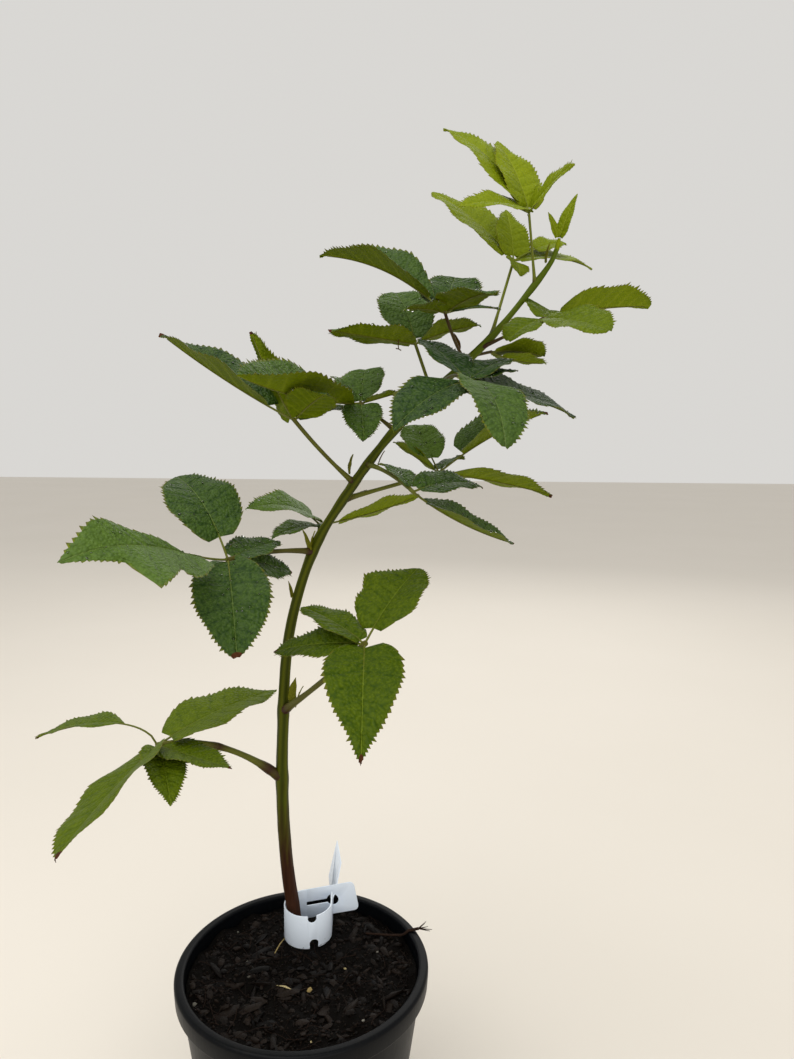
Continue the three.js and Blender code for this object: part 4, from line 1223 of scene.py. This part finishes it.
def plate(name, outline, holes=()):
    """A flat plate of the label's thickness, standing in the XZ plane, from outlines in millimetres."""
    deselect()
    bpy.ops.mesh.primitive_circle_add(vertices=len(outline), radius=MM, fill_type="NGON")
    piece = newest(name)
    for vertex, (x, z) in zip(piece.data.vertices, outline):
        vertex.co = (x * MM, 0, z * MM)
    modify(piece, "SOLIDIFY", thickness=LABEL_THICKNESS * MM, offset=0)
    bpy.ops.object.mode_set(mode="EDIT")
    bpy.ops.mesh.select_all(action="SELECT")
    bpy.ops.mesh.normals_make_consistent(inside=False)
    bpy.ops.object.mode_set(mode="OBJECT")
    for hole in holes:
        cut(piece, hole)
    return piece


def pin(name, radius, place):
    """A round cutter through the label, along the Y axis."""
    deselect()
    bpy.ops.mesh.primitive_cylinder_add(vertices=32, radius=radius * MM, depth=CUTTER_LENGTH * MM,
                                        rotation=(math.pi / 2, 0, 0), location=[c * MM for c in place])
    return newest(name)


deselect()
bpy.ops.mesh.primitive_cylinder_add(vertices=BAND_SIDES, depth=LABEL_WIDTH * MM,
                                    radius=(LABEL_INNER_RADIUS + LABEL_THICKNESS) * MM,
                                    end_fill_type="NOTHING", location=(0, 0, LABEL_WIDTH * MM / 2))
band = newest("plant_label_strip")
bpy.ops.object.transform_apply()
bpy.ops.object.mode_set(mode="EDIT")
bpy.ops.mesh.select_all(action="DESELECT")
bpy.ops.object.mode_set(mode="OBJECT")
for face in band.data.polygons:
    turn = math.degrees(math.atan2(face.center.y, face.center.x)) % 360
    face.select = turn < BAND_FROM
bpy.ops.object.mode_set(mode="EDIT")
bpy.ops.mesh.delete(type="FACE")
bpy.ops.object.mode_set(mode="OBJECT")
modify(band, "SOLIDIFY", thickness=LABEL_THICKNESS * MM, offset=-1)
for x, z in NOTCH_BITES:
    cut(band, pin("notch_cutter", NOTCH_RADIUS, (x - LABEL_CENTRE[0], -LABEL_INNER_RADIUS, z)))
band.data.transform(Matrix.Translation([c * MM for c in LABEL_CENTRE]))

half = LABEL_WIDTH / 2 - TAB_INSET
turn_in = TAB_RIGHT - TAB_CORNER
tab_outline = [(TAB_LEFT, -half), *arc((turn_in, -half + TAB_CORNER), TAB_CORNER, -90, 0, 8),
               *arc((turn_in, half - TAB_CORNER), TAB_CORNER, 0, 90, 8), (TAB_LEFT, half)]
deselect()
bpy.ops.mesh.primitive_cube_add(size=1, location=((KEYHOLE_X + SLOT_END) / 2 * MM, 0, 0),
                                scale=((KEYHOLE_X - SLOT_END) * MM, CUTTER_LENGTH * MM,
                                       2 * SLOT_HALF_WIDTH * MM))
slot_cutter = newest("slot_cutter")
bpy.ops.object.transform_apply()
tab = plate("plant_label_tab", tab_outline,
            [slot_cutter, pin("keyhole_cutter", KEYHOLE_RADIUS, (KEYHOLE_X, 0, 0))])
tab_back = LABEL_CENTRE[1] + LABEL_INNER_RADIUS + LABEL_THICKNESS / 2
tab.data.transform(Matrix.Translation((0, tab_back * MM, TAB_MIDDLE_HEIGHT * MM))
                   @ Matrix.Rotation(-TAB_TILT, 4, "Y"))

tail = plate("plant_label_tail", TAIL_OUTLINE + [(x, -z) for x, z in reversed(TAIL_OUTLINE[:-1])])
for vertex in tail.data.vertices:
    if vertex.co.x > TAIL_TWIST_FROM * MM:
        vertex.co = Matrix.Rotation(TAIL_TWIST, 3, "X") @ vertex.co
tail_foot = ((LABEL_CENTRE[0] + LABEL_INNER_RADIUS + LABEL_THICKNESS / 2) * MM,
             (LABEL_CENTRE[1] - 1) * MM, (SOIL_LEVEL + LABEL_WIDTH / 2) * MM)
tail.data.transform(Matrix.Translation(tail_foot) @ Matrix.Rotation(TAIL_HEADING, 4, "Z")
                    @ Matrix.Rotation(-TAIL_LIFT, 4, "Y"))

deselect()
for part in (tab, tail, band):
    part.select_set(True)
bpy.context.view_layer.objects.active = band
bpy.ops.object.join()
modify(band, "BEVEL", width=LABEL_EDGE_ROUND * MM, segments=2, limit_method="ANGLE")
smooth(band, 40)

# White polypropylene strip: smooth and slightly glossy, cool white, with a little dust off the mix.
SMUDGE_MM = 4
label_white, tree, shader = start_material("white_polypropylene_strip", IOR=1.49, Roughness=0.38)
place = add_node(tree, "TexCoord", output="Object")
smudge = add_node(tree, "TexNoise", {"Vector": place, "Scale": 1 / (SMUDGE_MM * MM), "Detail": 7.0,
                                     "Roughness": 0.75})
specks = add_node(tree, "MapRange", {"Value": smudge, "From Min": 0.66, "From Max": 0.74,
                                     "To Max": 0.55})
tint = add_node(tree, "Mix", {"Factor": specks, 6: linear("#e6f1ff"), 7: linear("#6f6558")},
                data_type="RGBA", output=2)
wire(shader, Base_Color=tint)
band.data.materials.clear()
band.data.materials.append(label_white)
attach(band, "root")
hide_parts("plant_label")
